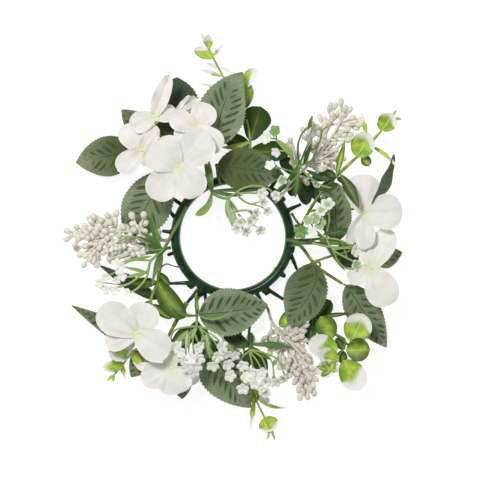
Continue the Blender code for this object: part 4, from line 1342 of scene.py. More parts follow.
HYDRANGEA_STEMS = (
    HydrangeaStem("hydrangea_stem_upper_left", [*crown_run(126, 1.3), (-37, 49, 14), (-46, 60, 20)],
        branches=(
        ([(-43, 56.5, 18), (-45.5, 56.5, 25)], "floret_upper_left_1"),
        ([(-45.5, 59.5, 19.5), (-57, 63.5, 20)], "floret_upper_left_3"),
        ([(-45.7, 60, 19.8), (-55, 77, 18.5)], "floret_upper_left_4"),
        ([(-45.3, 59, 19.4), (-36, 75, 22)], "floret_upper_left_2"),
        ([(-45.8, 60, 19.8), (-42, 80, 15.5)], "floret_upper_left_5"),
    )),
    HydrangeaStem("hydrangea_stem_right",
        [*wall_run(-7, 4.5), (61.3, -19.3, 8.5), (66.7, -24.6, 10), (84.2, -36, 11.5)], branches=(
        ([(61.3, -19.3, 8.5), (75.1, -14.7, 10), (91, -9, 12)], "floret_right_1"),
        ([(90, -9.5, 12), (99, -16, 14)], "floret_right_2"),
    ), shoots=(
        Stem([*wall_run(-5, 6), (60, -4.8, 12), (75, -5, 16), (88, -6, 18), (95, -8.5, 19),
            (100, -12, 20.5)], (1.2, 1.1)),
        Stem([(96.5, -9.3, 19.5), (103.5, -13.5, 20.5)], (1.5, 2.8)),
    )),
    HydrangeaStem("hydrangea_stem_lower_left",
        [(-35.2, -50.5, 5), (-38.5, -57, 7), (-42.5, -63.5, 10.5), (-49, -76, 15)], branches=(
        ([(-49, -76, 15), (-62, -77, 21)], "floret_lower_left_1"),
        ([(-48.7, -75, 14.5), (-48, -89, 17)], "floret_lower_left_2"),
    ), radius=2),
)


@dataclass
class ToothedLeaf(Bend):
    """Printed cloth leaf on its stalk, whose path ends at the blade's base.

    widest is where along it the leaf is widest, blunt and end how square and how full its tip is.
    """

    node: str
    stalk: Path
    tip: Point
    width: float
    seed: float
    _: KW_ONLY
    fold: float = 0.12
    curl: float = -0.05
    ripple: float = 0.6
    widest: float = 0.42
    blunt: float = 1.75
    end: float = 0.95
    # tone is the painted shade on the blade, strongest at its base
    tone: float = 0.0
    stalk_radius: float = 0.95
    dark: bool = False

    def build(self, blanks: Blanks, finishes: Finishes) -> Shape:
        """The leaf.

        Args:
            blanks: what its parts are bent from.
            finishes: the materials.

        Returns:
            The finished piece.
        """
        piece = Piece(self.node, Slot.DARK_LEAF if self.dark else Slot.LEAF)
        outline = Outline(self.widest, 0.06, (2.1, 0.72), (self.blunt, self.end))
        blade = Blade(
            self.stalk[-1], self.tip, self.width, outline, relief=leaf_relief, seed=self.seed, tone=self.tone,
            **self.bend(),
        )
        piece.add(blade.build(blanks.leaf, finishes.dark_leaf if self.dark else finishes.leaf))
        stalk = Stem(self.stalk, (self.stalk_radius, 0.75), (0.6, 0.1))
        piece.add(stalk.build(blanks.stem, finishes.stem))
        return piece.finish(35.0)


LEAVES = (
    ToothedLeaf("leaf_left_upper", [*wall_run(128, 3.5), (-44, 58, 6.5), (-74, 65.5, 10)],
        (-120, 56.8, 9), 30.5, 0.13, roll=-4, widest=0.45, blunt=1.9, tone=1.4, printed=0.78),
    ToothedLeaf("leaf_left_corner", [*wall_run(120, 4.5), (-42, 68, 10), (-62, 76, 12.5)], (-85, 97, 14),
        19, 0.29, tone=0.9),
    ToothedLeaf("leaf_top_dark", [*wall_run(118, 4), (-34, 59, 6.5), (-45, 72, 8.5)], (-42.5, 122, 11),
        35, 0.31, widest=0.5, blunt=3, dark=True),
    ToothedLeaf("leaf_top", [*crown_run(111, 0.9), (-18, 58, 13), (-11.8, 68.4, 19)], (8, 125.5, 23), 36,
        0.47, sway=-5.5, printed=0.85),
    ToothedLeaf("leaf_inner_top", [*crown_run(103, 0.9), (-11.5, 54.5, 14)], (39.5, 47.2, 16), 33, 0.59,
        fold=0.08, tone=1.35),
    ToothedLeaf("leaf_left", [*wall_run(137, 4.5), (-43, 46, 6.5), (-50.7, 49.3, 8)], (-81, -3, 7), 37,
        0.67, widest=0.52, tone=0.1),
    ToothedLeaf("leaf_right", [*wall_run(10, 4.5), (70, -1, 12.5), (79.5, -3, 15)], (77.3, 41.6, 18), 24,
        0.71, blunt=2.6, end=0.6, tone=0.45),
    ToothedLeaf("leaf_right_edge",
        [(58, 19, 13.5), (64, 20.5, 10), (76, 20, 9), (97, 22, 12), (105, 26, 24), (106, 24.5, 31)],
        (122.6, 62.5, 29), 15, 0.83, roll=58, sway=2.5, widest=0.5, blunt=1.5, tone=0.9, dark=True),
    ToothedLeaf("leaf_inner_right", [(67, -22.2, 10.9), (66, -19.5, 15), (58.5, -20.5, 19)],
        (42.3, -67.3, 21), 32, 0.91, sway=-4.5, blunt=2.4, tone=0.9, drift=-0.7),
    ToothedLeaf("leaf_lower_right", [(84.6, -36.2, 11.5), (87, -37, 11.5)], (117.7, -84.8, 11), 26, 0.17,
        tone=0.5),
    ToothedLeaf("leaf_right_tip", [(99, -13.6, 13.4), (102, -15, 12.5), (108, -18, 13)],
        (129.5, -12, 15), 17, 0.21),
    ToothedLeaf("leaf_inner_bottom", [*wall_run(238, 4.5), (-27.3, -50, 9.5), (-25.5, -59.3, 13)],
        (27.1, -51.5, 14), 36, 0.37, sway=1.3, stalk_radius=2),
    ToothedLeaf("leaf_bottom", [*wall_run(250, 4), (-20, -64, 7), (-19, -80, 10)], (14, -130.8, 11), 38,
        0.43, sway=2, printed=0.9, tone=-0.5),
    ToothedLeaf("leaf_lower_left_tip", [(-50.7, -75.8, 13.6), (-68, -74, 13), (-86.9, -72.6, 13)],
        (-123.6, -52, 12), 15, 0.53, widest=0.12, blunt=1.2, tone=0.6),
    ToothedLeaf("leaf_lower_left_corner", [(-49.6, -77.8, 13.9), (-56, -82, 13), (-63, -85, 13)],
        (-77.5, -107.5, 12), 18, 0.61),
    ToothedLeaf("leaf_bottom_left_tip", [(-46.9, -77.9, 13.9), (-42, -88, 12.5), (-40, -95, 12.5)],
        (-38.5, -123.8, 13), 17, 0.73, blunt=2.6),
    ToothedLeaf("leaf_left_dark", [(-48.8, -36.4, 4), (-52, -43, 6), (-58, -47.5, 8.5)],
        (-101, -22.3, 10), 16, 0.79, roll=50, dark=True),
    ToothedLeaf("leaf_bottom_dark", [*wall_run(258, 2), (-10.5, -66, 2.8), (-7, -75, 3.6)], (14, -84, 4),
        12, 0.87, arch=1, dark=True),
    ToothedLeaf("leaf_right_dark", [(77.8, -15, 8.8), (80, -7.5, 7)], (96.5, -23.5, 5.5), 17, 0.97,
        dark=True),
)


@dataclass
class CuppedLeaf(Bend):
    """Moulded sprig leaf from its base to its tip.

    tone is 0 for lime and 1 for deep green; frost is where its frosted rim starts, from 0 at the middle
    to 1 at the rim, and 2 leaves it green. widest is where along it the leaf is widest, taper how full
    its base is, and slim the ratio of width to length below which it is slender.
    """

    base: Point
    tip: Point
    width: float
    tone: float = 0.0
    frost: float = 2.0
    _: KW_ONLY
    arch: float = -1.2
    curl: float = 0.15
    widest: float = 0.54
    taper: float = 2.0
    slim: float = 0.36

    def build(self, blanks: Blanks, material: Material) -> Shape:
        """The leaf, broad or slender.

        Args:
            blanks: what it is bent from.
            material: its material.

        Returns:
            The leaf.
        """
        slender = self.width < self.slim * math.dist(self.base, self.tip)
        rounded = Outline(self.widest, 0.08, (self.taper, 0.6), (2.0, 0.5))
        blade = Blade(
            self.base, self.tip, self.width, SLIM_OUTLINE if slender else rounded, relief=rib_relief,
            thickness=0.85, seed=self.frost, tone=self.tone, **self.bend(),
        )
        return blade.build(blanks.slim if slender else blanks.broad, material)


@dataclass
class Sprig:
    """Eucalyptus sprig of moulded plastic: its stems and leaves."""

    node: str
    stems: Sequence[Path]
    leaves: Sequence[CuppedLeaf]
    dark: bool = False
    radii: Pair = (1.1, 0.75)
    tones: Pair = (0.88, 0.72)

    def build(self, blanks: Blanks, finishes: Finishes) -> Shape:
        """The sprig.

        Args:
            blanks: what its parts are bent from.
            finishes: the materials.

        Returns:
            The finished piece.
        """
        piece = Piece(self.node, Slot.DARK_EUCALYPTUS if self.dark else Slot.EUCALYPTUS)
        material = finishes.dark_eucalyptus if self.dark else finishes.eucalyptus
        for leaf in self.leaves:
            piece.add(leaf.build(blanks, material))
        for stem in self.stems:
            piece.add(Stem(stem, self.radii, self.tones).build(blanks.stem, material))
        return piece.finish()


SPRIGS = (
    Sprig("eucalyptus_top", stems=(
        [*wall_run(77, 4), (13.3, 75.2, 8.5), (8, 97, 11), (-6.9, 121.7, 14), (-14.9, 136.9, 17),
            (-19, 145.5, 19)],
    ), leaves=(
        CuppedLeaf((13.7, 73.5, 8.8), (21.6, 99.3, 14), 23, 0.95, roll=-8, widest=0.66, taper=1.1),
        CuppedLeaf((-14.1, 136.9, 16.8), (-29.3, 142.6, 19), 9, 0, 0.6, roll=10, skew=0.9),
        CuppedLeaf((2, 108.5, 12.3), (17.9, 128.9, 15), 9.8, 0, 0.5, widest=0.62, skew=0.5),
        CuppedLeaf((8.5, 97.5, 11.1), (13.7, 116.7, 11), 9, 0.5, 0.95),
        CuppedLeaf((13.7, 72.9, 8.3), (-8.4, 68.4, 9), 5, 0.35, sway=-1.5),
        CuppedLeaf((13.3, 69.1, 7), (-6.5, 76, 7), 12, 0.94),
        CuppedLeaf((13.2, 64.5, 7), (44.5, 66.1, 8), 16, 0.92),
        CuppedLeaf((-18.8, 144.5, 18.8), (-24, 155.6, 21), 3.5, 0, 0.2),
        CuppedLeaf((-18, 143.5, 18.6), (-18.7, 154.1, 22), 7, 0, 0.3, fold=0.5),
        CuppedLeaf((-14.9, 137.7, 17), (-6.9, 147.2, 18), 2.6, 0.5, 0.1),
        CuppedLeaf((-7.2, 122.5, 14.2), (-25.5, 127.8, 16), 3.6, 0.4, 0, skew=0.3),
        CuppedLeaf((-10.3, 128.2, 15.2), (-19.4, 132.4, 18), 2.8, 0, -0.2),
        CuppedLeaf((-10.3, 129.3, 15.4), (1.4, 124.6, 19), 3.4, 0, -0.3),
        CuppedLeaf((-0.5, 110.5, 12.6), (-27.1, 117.9, 15), 2.8, 0, -0.1),
    ), tones=(0.8, 0.4)),
    Sprig("eucalyptus_upper_right", stems=(
        [*wall_run(8, 4.5), (53.5, 10.5, 7), (57.5, 18, 9), (63.6, 28, 11), (70.5, 37, 13), (77, 44, 26),
            (82, 49, 31.5), (98, 64, 32), (113.2, 80.5, 32)],
    ), leaves=(
        CuppedLeaf((94.9, 60, 32), (103.2, 78.5, 37), 18.5, 0, 0.55, roll=-8, skew=0.22),
        CuppedLeaf((98.7, 61.5, 31), (104, 53.9, 31), 8, 0.7),
        CuppedLeaf((101.7, 76.5, 36), (98.3, 95, 34), 3.6, 0, 0.35),
        CuppedLeaf((113.2, 80.5, 32), (121.5, 93.1, 36), 15, 0, 0.55, skew=0.22),
        CuppedLeaf((112.8, 80.3, 32), (109.3, 87, 33), 1.8, 0.6),
        CuppedLeaf((121, 91, 35), (124.6, 96.2, 36), 1.6, 0.7),
        CuppedLeaf((121, 89.5, 34), (128.8, 89.3, 32), 2.6, 0.6),
        CuppedLeaf((103.5, 69.5, 31.5), (126.5, 50.4, 32), 3.2, 0, 0.5, sway=-2.3),
        CuppedLeaf((78.8, 46, 32), (85.3, 73.3, 38), 4.8, 0.62),
        CuppedLeaf((82, 47, 32), (95.6, 21.5, 39), 8.8, 0.88, sway=-1),
        CuppedLeaf((78.5, 45.5, 30), (70, 50, 29), 6, 1),
        CuppedLeaf((79.5, 44.5, 30), (86.5, 42, 29), 5, 1),
        CuppedLeaf((79, 45.5, 28.5), (57, 42.5, 26), 7.5, 1, sway=1.5),
        CuppedLeaf((77.5, 43.5, 26), (64, 34, 22), 6, 0.9),
    ), radii=(1.2, 1.2)),
    Sprig("eucalyptus_inner_right", stems=([*wall_run(44, 3.5), (46, 44, 5), (53, 50, 6)],), leaves=(
        CuppedLeaf((53.5, 49.5, 5.9), (56.5, 24.2, 7.5), 12, 0.9),
        CuppedLeaf((53.6, 49.6, 6), (67.5, 25, 7.5), 10, 0.9),
        CuppedLeaf((50, 47, 5.5), (44.5, 31, 6.5), 10, 1),
        CuppedLeaf((51, 47.5, 5.5), (36.5, 60.5, 6), 11, 1),
    ), dark=True),
    Sprig("eucalyptus_lower_right", stems=(
        [(40.4, -48.5, 5.4), (50, -53, 8), (62, -62, 12), (78, -74, 20), (86, -79.5, 23), (80, -92, 24)],
        [(76, -73, 19), (83, -77.5, 21.5), (88, -82.5, 23.5)],
    ), leaves=(
        CuppedLeaf((90, -79.8, 23), (100.2, -58.9, 26), 21.5, 0, 0.5, skew=-0.08),
        CuppedLeaf((76, -77.5, 20.5), (66.8, -60.5, 24), 16.5, 0.68),
        CuppedLeaf((80, -86.5, 23.5), (57.5, -80.2, 27), 18, 0, 0.22, skew=0.1),
        CuppedLeaf((81, -94, 23.8), (65.2, -87.9, 30), 13, 0, 0.5),
        CuppedLeaf((81, -98, 25.5), (63.5, -102.5, 27), 14, 0, -0.5),
        CuppedLeaf((74.5, -101.5, 26.8), (63.5, -98.5, 28.2), 3.8, 0.4),
        CuppedLeaf((74.5, -101.5, 26.9), (68, -95, 28.4), 3.8, 0.3),
        CuppedLeaf((74.5, -101.5, 26.8), (67.5, -105.5, 28.2), 3.6, 0.5),
        CuppedLeaf((74, -101.5, 26.9), (77.5, -94, 28.4), 4, 0.3, 1.1),
        CuppedLeaf((74, -101, 26.8), (80.5, -101, 27.8), 4, 0.4, 0.7),
        CuppedLeaf((85, -86, 22), (79, -77, 21), 7, 0.93),
        CuppedLeaf((84.5, -97, 22.5), (82.5, -86.5, 22), 8, 0.85),
        CuppedLeaf((84.5, -94, 23.6), (97.9, -116, 24), 20, 0, 0.36, skew=-0.25),
        CuppedLeaf((86.5, -86.3, 23), (104.4, -85.5, 28), 18, 0.7),
        CuppedLeaf((63, -62.7, 12.3), (75, -48.5, 13), 13, 0.92),
        CuppedLeaf((62, -62, 12), (57.5, -82.5, 12), 9, 0.9),
        CuppedLeaf((50, -53.2, 8), (36, -69, 7), 10, 0.5),
        CuppedLeaf((66, -61, 14), (90.5, -58.2, 19.5), 3.6, 0.9),
    ), tones=(1, 0.85)),
    Sprig("eucalyptus_bottom", stems=(
        [*wall_run(272, 2.6), (11, -98, 3.6), (17, -122, 5.5), (24, -137.4, 8), (28.5, -147, 10)],
    ), leaves=(
        CuppedLeaf((16, -127.5, 6), (17.9, -113.5, 6.5), 7.5, 0.5),
        CuppedLeaf((24.8, -137.6, 8.2), (30, -148.8, 11), 15.5, 0, 0.62),
        CuppedLeaf((18, -121.5, 5.4), (28.5, -126, 5.2), 6, 0, -0.5),
        CuppedLeaf((19, -124, 6), (42.3, -130.5, 7), 2.8, 0.2, 0.5, sway=2.5),
        CuppedLeaf((16.8, -122.5, 5.5), (13.3, -150.3, 7.5), 4, 0, 0.35),
        CuppedLeaf((29, -145.5, 9.8), (26.7, -154.6, 12), 2.2, 0.2),
        CuppedLeaf((29.2, -145.5, 9.8), (32.4, -155.4, 12), 2, 0.7),
    )),
    Sprig("eucalyptus_lower_left", stems=(
        [(-53, -78.4, 16.5), (-64, -82, 16), (-77.3, -88, 17), (-82.7, -96.2, 18), (-87.2, -101.6, 18),
            (-91, -106, 18)],
    ), leaves=(
        CuppedLeaf((-78.1, -90.5, 20), (-92.5, -83.5, 31.5), 6.5, 0.1, 0.9, arch=3),
        CuppedLeaf((-77, -89, 20), (-94.5, -87.5, 29), 13.5, 0, -0.3),
        CuppedLeaf((-82.7, -97, 18), (-98.7, -100, 21), 9.5, 0, 0.6, skew=0.15),
        CuppedLeaf((-84.5, -96.5, 18), (-82, -109.5, 17), 3.8, 0.1, 0.5),
        CuppedLeaf((-91, -105, 18), (-95.6, -110.2, 18.5), 2.4),
        CuppedLeaf((-90.5, -105, 18), (-91.1, -110.2, 18.5), 2.4),
        CuppedLeaf((-76.8, -86.8, 22), (-68.5, -102, 22), 6.5, 0, 0.8, skew=0.6),
    ), tones=(0.7, 0.35)),
    Sprig("eucalyptus_inner_left", stems=(
        [*wall_run(190, 6), (-56, -17, 12), (-57, -33.5, 14), (-62.5, -50, 15), (-56, -57, 14),
            (-48, -61.5, 14.5)],
    ), leaves=(
        CuppedLeaf((-57.2, -33.4, 14), (-36, -61.8, 18.5), 16, 0.82, sway=2.2),
        CuppedLeaf((-56.8, -27.5, 13.5), (-48.4, -37.6, 12.5), 7, 0.86),
        CuppedLeaf((-58, -34.5, 14.2), (-77, -36, 12.5), 8.5, 0.88),
        CuppedLeaf((-61.8, -52, 15), (-46.1, -62, 14), 7.5, 0.85),
        CuppedLeaf((-61.8, -49, 15), (-68.5, -54, 16), 4.5, 0.8),
    ), radii=(1.3, 1.1)),
)


@dataclass
class BerrySpray:
    """Spray of cream teardrop berries on short stalks.

    inner is the share of the berries that have a second one below them and inner_dim how much darker
    those are, as painted shade deep in the spray. slender is how much longer than wide a berry is, and
    rise how far from the height of its stem it sits. lead and slope say how far before a berry its stalk
    leaves the stem.
    """

    node: str
    stems: Sequence[Path]
    berries: Sequence[Pair]
    seed: int
    berry_radius: float = 2.35
    slender: float = 1.15
    inner: float = 0.7
    inner_dim: float = 0.14
    rise: Pair = (-1.5, 4.5)
    lead: float = 2.0
    slope: float = 0.7
    root_tone: float = 0.35
    tip_tone: float = 0.0
    stalks: Sequence[Path] = ()

    def build(self, blanks: Blanks, finishes: Finishes) -> Shape:
        """The spray.

        Args:
            blanks: what its parts are bent from.
            finishes: the materials.

        Returns:
            The finished piece.
        """
        draw = random.Random(self.seed)
        piece = Piece(self.node, Slot.BERRY)
        runs = [Run(stem) for stem in self.stems]
        for index, stem in enumerate(self.stems):
            tones = (self.root_tone, 0.05) if index == 0 else (self.root_tone * 0.4, 0.0)
            thick = self.berry_radius * (0.54 if index == 0 else 0.42)
            radii = (thick, thick * 0.75)
            piece.add(Stem(stem, radii, tones).build(blanks.stem, finishes.berry))
        for stalk in self.stalks:
            piece.add(Stem(stalk, (0.8, 1.0), (0.35, 0.1)).build(blanks.stem, finishes.berry))
        for across, along in self.berries:
            spot = np.array((across, along, 0.0))
            root, beside = branch_point(runs, spot, self.lead, self.slope)
            spot[2] = beside[2] + draw.uniform(*self.rise)
            self.drop(piece, blanks, finishes, root, spot, draw, 0.0)
            if draw.random() < self.inner:
                near = root + (spot - root) * draw.uniform(0.5, 0.75)
                near = near + np.array((draw.uniform(-3.0, 3.0), draw.uniform(-3.0, 3.0), -2.5))
                self.drop(piece, blanks, finishes, root, near, draw, self.inner_dim)
        return piece.finish(60.0)

    def drop(
        self, piece: Piece, blanks: Blanks, finishes: Finishes, root: Array, spot: Array,
        draw: random.Random, painted_shade: float,
    ) -> None:
        """Add one berry on its stalk.

        Args:
            piece: the spray that it joins.
            blanks: what its parts are bent from.
            finishes: the materials.
            root: where the stalk leaves its stem.
            spot: the middle of the berry.
            draw: the spray's random numbers.
            painted_shade: how much darker it is than the outer ones, as painted shade deep in the spray.
        """
        reach = spot - root
        reach = reach / max(np.linalg.norm(reach), 1e-6)
        neck = spot - reach * self.berry_radius * 1.5
        middle = (root + neck) / 2 + np.array((0, 0, draw.uniform(0.2, 1.2)))
        # Painted shade: a lower berry is darker by the given amount
        tone = self.tip_tone * draw.uniform(0.4, 1.6) + painted_shade
        stalk = Stem([root, middle, neck], (0.95, 0.8), (tone + 0.12, tone))
        piece.add(stalk.build(blanks.stalk, finishes.berry))
        size = self.berry_radius * draw.uniform(0.88, 1.12)
        upward = reach + np.array((0, 0, 0.15))
        places = stand(blanks.berry, spot, upward, (size, size, size * self.slender), draw.uniform(0, 6))
        across, over, height = blanks.berry.flat.T
        pit = np.exp(-((np.hypot(across, over) / 0.3) ** 2)) * (height > 0)
        still = np.zeros_like(height)
        marks = {
            "place": np.stack([height, still, still], axis=1),
            "tint": np.stack([height, pit, still + tone], axis=1),
        }
        piece.add(blanks.berry.copy(places, marks, finishes.berry))


BERRY_SPRAYS = (
    BerrySpray("berry_spray_left", stems=(
        [*wall_run(183, 6), (-58, -2, 13), (-70, 3, 20), (-92, 4, 22), (-106, 2.5, 22), (-117, 1, 22)],
        [(-70.5, 3, 20), (-72, 9, 22)],
        [(-86, 3.7, 21.5), (-91, 9.5, 22.5), (-95, 13, 23.5)],
        [(-98, 3.3, 22), (-103, 8.5, 23)],
        [(-93, 4, 22), (-100, -5, 21), (-106, -14, 20)],
        [(-78, 3.3, 20.7), (-84, -4, 21), (-88, -9, 20.5)],
        [(-84, 3.5, 21), (-97, -1, 20.5), (-110, -4, 20)],
        [(-61, -0.5, 14.5), (-68, -7, 16.5), (-80, -13, 18), (-89, -14, 18.5)],
    ), berries=(
        (-126, 4.5), (-126, -2), (-118.5, 7.5), (-119, 1), (-120, -6), (-118.5, -9), (-112, 8),
        (-113.5, 5), (-108.5, 14), (-105.5, 15), (-102.5, 13.5), (-100, 12.5), (-107.5, 11.5),
        (-95.5, 16.5), (-88.5, 18), (-96.5, 9.5), (-93, 10.5), (-89.5, 12.5), (-107.5, 6), (-102.5, 6.5),
        (-117, -1.5), (-113.5, 0.5), (-110, -1), (-107, 0), (-102.5, 0.5), (-99, 1.5), (-116, -13.5),
        (-112, -14.5), (-113, -21.5), (-103.5, -21), (-106, -18), (-108.5, -17), (-99, -11.5),
        (-101.5, -8), (-95.5, -10.5), (-89, -11), (-92.5, -5.5), (-93.5, -16.5), (-83.5, -1.5),
        (-82.5, -7), (-81, -13), (-83.5, 7.5), (-76.5, 16), (-67.5, 16.5), (-66, 10.5), (-76, 9.5),
        (-75, 5), (-66.5, 4), (-56.5, 3.5), (-98, -3), (-88, -4), (-91, 5), (-86, 1), (-95, -1),
        (-104, -6), (-111, 3), (-101, 9), (-97, 4), (-108, -5), (-112, -7), (-104, 3), (-78, 1), (-71, 0),
        (-92, -13.5), (-87.5, -16), (-84, -14), (-79.5, -16.5), (-75.5, -13.5), (-71.5, -15.5),
        (-68, -12), (-77.5, -10), (-73, -9), (-69, -6), (-64, -5), (-63, -9.5), (-86, -8), (-75.5, -4),
        (-80.5, -2), (-67, -1),
    ), seed=21, berry_radius=2.5, slender=1.2),
    BerrySpray("berry_spray_upper_right", stems=(
        [*crown_run(39, 1.1), (46, 44, 15), (57, 54, 19), (67, 70, 20.5), (78, 92, 21)],
        [(57, 54, 19), (65.5, 64.5, 21), (74, 74, 22), (80.5, 83, 22.5), (85.5, 92.5, 22.5)],
        [(57, 54, 19), (57, 80, 22.5)],
        [(50, 47.6, 16.5), (44, 65, 20)],
        [(74.5, 85, 20.8), (86, 88, 22)],
        [(60, 59, 19.3), (68, 61.5, 20), (74.5, 58.5, 20.5)],
        [(49, 46.5, 16), (56, 45, 17), (63, 41, 17)],
    ), berries=(
        (74.5, 99), (78, 99.5), (82.5, 102.5), (85.5, 97.5), (89, 96.5), (76, 92.5), (80.5, 94.5),
        (84, 92.5), (87, 85), (91, 90.5), (92.5, 87.5), (97, 89.5), (96.5, 85), (94, 83), (98.5, 87.5),
        (53.5, 81.5), (57.5, 83.5), (60.5, 85), (63.5, 83), (66.5, 90.5), (70.5, 89), (73, 86.5),
        (65, 79), (68, 76.5), (61.5, 77.5), (70.5, 81.5), (56, 76), (44, 73.5), (44.5, 70), (78, 76.5),
        (82, 79), (87, 81.5), (89.5, 77.5), (88, 73.5), (78, 66), (80.5, 62.5), (81, 57), (79, 52.5),
        (74.5, 51), (68, 51), (63, 52.5), (60, 54.5), (66.5, 60), (65, 56), (72, 57.5), (76, 59),
        (55, 43), (63.5, 39.5), (48.5, 54.5), (45.5, 56), (61, 67), (50, 62), (71, 72), (70, 76),
        (66, 73), (62, 71), (58, 68), (77, 71), (75, 64), (84, 77), (70, 85), (62, 80), (83.5, 59.5),
        (71, 54),
    ), seed=22, berry_radius=2.2, slender=1.5, inner=0.45, stalks=(
        [(62, 58, 23), (70, 68, 25), (78, 80, 25.5), (82.5, 88.5, 25)],
        [(64, 58.5, 23.5), (73, 67.5, 25.5), (80.5, 76, 25.8), (88, 84, 25)],
        [(60.5, 58, 22), (66.5, 68, 24), (70, 80, 24.5), (71, 88, 24)],
        [(66, 59, 22.5), (76, 64.5, 25), (84, 71.5, 25), (90, 78, 24.5)],
        [(62, 56.5, 22), (69, 57.5, 25), (77, 60, 25.5)],
        [(75.5, 57.5, 25), (80.5, 62, 25.5)],
        [(75, 57, 25), (76.5, 51, 24.5)],
        [(57, 47.5, 17.5), (64, 49.5, 18), (72, 50, 18.5), (76.5, 50, 18)],
        [(47, 52, 20), (44.5, 60, 23), (43.5, 68, 23.5)],
        [(49, 53.5, 20), (48, 62, 22), (46, 70, 22.5)],
    )),
    BerrySpray("berry_spray_lower_right", stems=(
        [*wall_run(294, 3.5), (26.5, -54, 6), (30, -65, 9), (37, -73, 12), (47, -83, 15), (51, -97, 17),
            (54, -110, 17)],
        [(30, -65, 9), (29, -72, 13), (27, -80, 14.5)],
        [(33, -68.5, 10.3), (36, -80, 15), (38, -92, 16.5)],
        [(41, -77, 13.2), (43, -90, 16.5), (46, -104, 17)],
        [(38, -74, 12.3), (46, -73, 13.5), (52, -70, 14)],
        [(47.5, -84, 15), (55, -97, 17), (60, -109, 16.5)],
    ), berries=(
        (25, -77), (28.5, -74), (34, -72.5), (27, -82.5), (32.5, -80), (38.5, -77), (44, -75),
        (28.5, -88), (34.5, -86.5), (40, -85), (45.5, -82.5), (32.5, -95.5), (38.5, -92.5), (44, -91),
        (49, -88), (53.5, -86.5), (41.5, -99.5), (47, -98), (52, -95.5), (57.5, -94), (44, -105.5),
        (49, -104), (54.5, -102.5), (60, -100), (64.5, -103), (47.5, -110.5), (53, -109), (58.5, -107.5),
        (50.5, -116), (56, -114.5), (61.5, -113), (51.5, -122), (57, -121.5), (62, -118.5), (49, -82.5),
        (55, -79), (46, -67.5), (51.5, -65), (56, -67.5), (53.5, -72), (48.5, -72.5), (36, -99),
        (43, -94), (48, -93), (51, -101), (56, -98), (36, -83), (41.5, -80.5), (47, -78), (52, -76),
        (31, -85), (36.5, -89.5), (51, -84.5), (39, -96), (45.5, -100.5), (50.5, -92), (56, -90.5),
        (57.5, -105.5), (50, -107.5), (55.5, -111.5), (60.5, -109), (53.5, -118.5), (59, -116), (48, -70),
        (43, -70), (38, -73.5),
    ), seed=23, berry_radius=2.1, slender=1.5, inner=1, root_tone=0.8, tip_tone=0.14, stalks=(
        [(30, -66, 12.5), (36, -74, 16.5), (46, -83, 20), (55, -93, 21)],
        [(31, -66.5, 12.5), (39, -76, 16), (51, -84.5, 19), (61, -92, 19.5)],
        [(38, -76, 19), (44, -86, 22), (49, -98, 22.5)],
    )),
)


@dataclass
class SlimLeaf(Bend):
    """Slender leaf of a flower spray.

    core is the share of the width that the blade of a feathered one takes; the rest is its fringe.
    """

    base: Point
    tip: Point
    width: float
    tone: float = 0.0
    feathered: bool = False
    _: KW_ONLY
    arch: float = 1.0
    fold: float = 0.15
    widest: float = 0.45
    core: float = 0.3

    def build(self, blanks: Blanks, material: Material) -> Shape:
        """The leaf.

        Args:
            blanks: what it is bent from.
            material: its material.

        Returns:
            The leaf.
        """
        width = self.width * (self.core if self.feathered else 1.0)
        outline = Outline(self.widest, 0.15, (1.6, 0.8), (1.8, 0.75))
        blade = Blade(
            self.base, self.tip, width, outline, relief=plain_relief, thickness=0.7, tone=self.tone,
            **self.bend(),
        )
        return blade.build(blanks.feather if self.feathered else blanks.slim, material)


@dataclass
class GypsophilaSpray:
    """Spray of tiny white flowers: stems, slender leaves and the flowers.

    A flower is its place and how white its throat is, and its stalk leaves the nearest stem. lead and
    slope say how far before the flower.
    """

    node: str
    stems: Sequence[Stem]
    flowers: Sequence[tuple[float, float, float, float]]
    leaves: Sequence[SlimLeaf]
    seed: int
    flower_radius: float = 4.0
    lead: float = 1.0
    slope: float = 0.4

    def build(self, blanks: Blanks, finishes: Finishes) -> Shape:
        """The spray.

        Args:
            blanks: what its parts are bent from.
            finishes: the materials.

        Returns:
            The finished piece.
        """
        draw = random.Random(self.seed)
        piece = Piece(self.node, Slot.SPRAY)
        for stem in self.stems:
            piece.add(stem.build(blanks.stem, finishes.spray))
        for leaf in self.leaves:
            piece.add(leaf.build(blanks, finishes.spray))
        runs = [Run(stem.points) for stem in self.stems]
        for across, along, height, white in self.flowers:
            spot = np.array((across, along, height))
            root = branch_point(runs, spot, self.lead, self.slope)[0]
            lean = spot - root
            lean = lean / max(np.linalg.norm(lean), 1e-6) * 0.5
            tilt = (lean[0] + draw.uniform(-0.35, 0.35), lean[1] + draw.uniform(-0.35, 0.35), 0.9)
            facing = unit(np.array(tilt))
            foot = spot - facing * self.flower_radius * 0.85
            middle = (root + foot) / 2 + np.array((draw.uniform(-0.8, 0.8), draw.uniform(-0.8, 0.8), 0.6))
            stalk = Stem([root, middle, foot], (0.7, 0.55), (0.45, 0.7))
            piece.add(stalk.build(blanks.stalk, finishes.spray))
            piece.add(self.flower(blanks.blossom, spot, facing, draw, white, finishes.blossom))
        return piece.finish()

    def flower(
        self, blank: Blank, spot: Array, facing: Array, draw: random.Random, white: float,
        material: Material,
    ) -> Shape:
        """One tiny flower.

        Args:
            blank: the modelled flower.
            spot: the middle of its face.
            facing: where it looks.
            draw: the spray's random numbers.
            white: how white its throat is.
            material: its material.

        Returns:
            The flower.
        """
        size = self.flower_radius * draw.uniform(0.85, 1.12)
        places = stand(blank, spot, facing, (size, size, size), draw.uniform(0, 6))
        radius = np.hypot(blank.flat[:, 0], blank.flat[:, 1])
        calyx = np.maximum((blank.flat[:, 2] < -0.26).astype(float), float(white < -1.0))
        mark = np.stack([radius, calyx, np.full_like(radius, white)], axis=1)
        return blank.copy(places, {"place": mark, "tint": mark}, material)


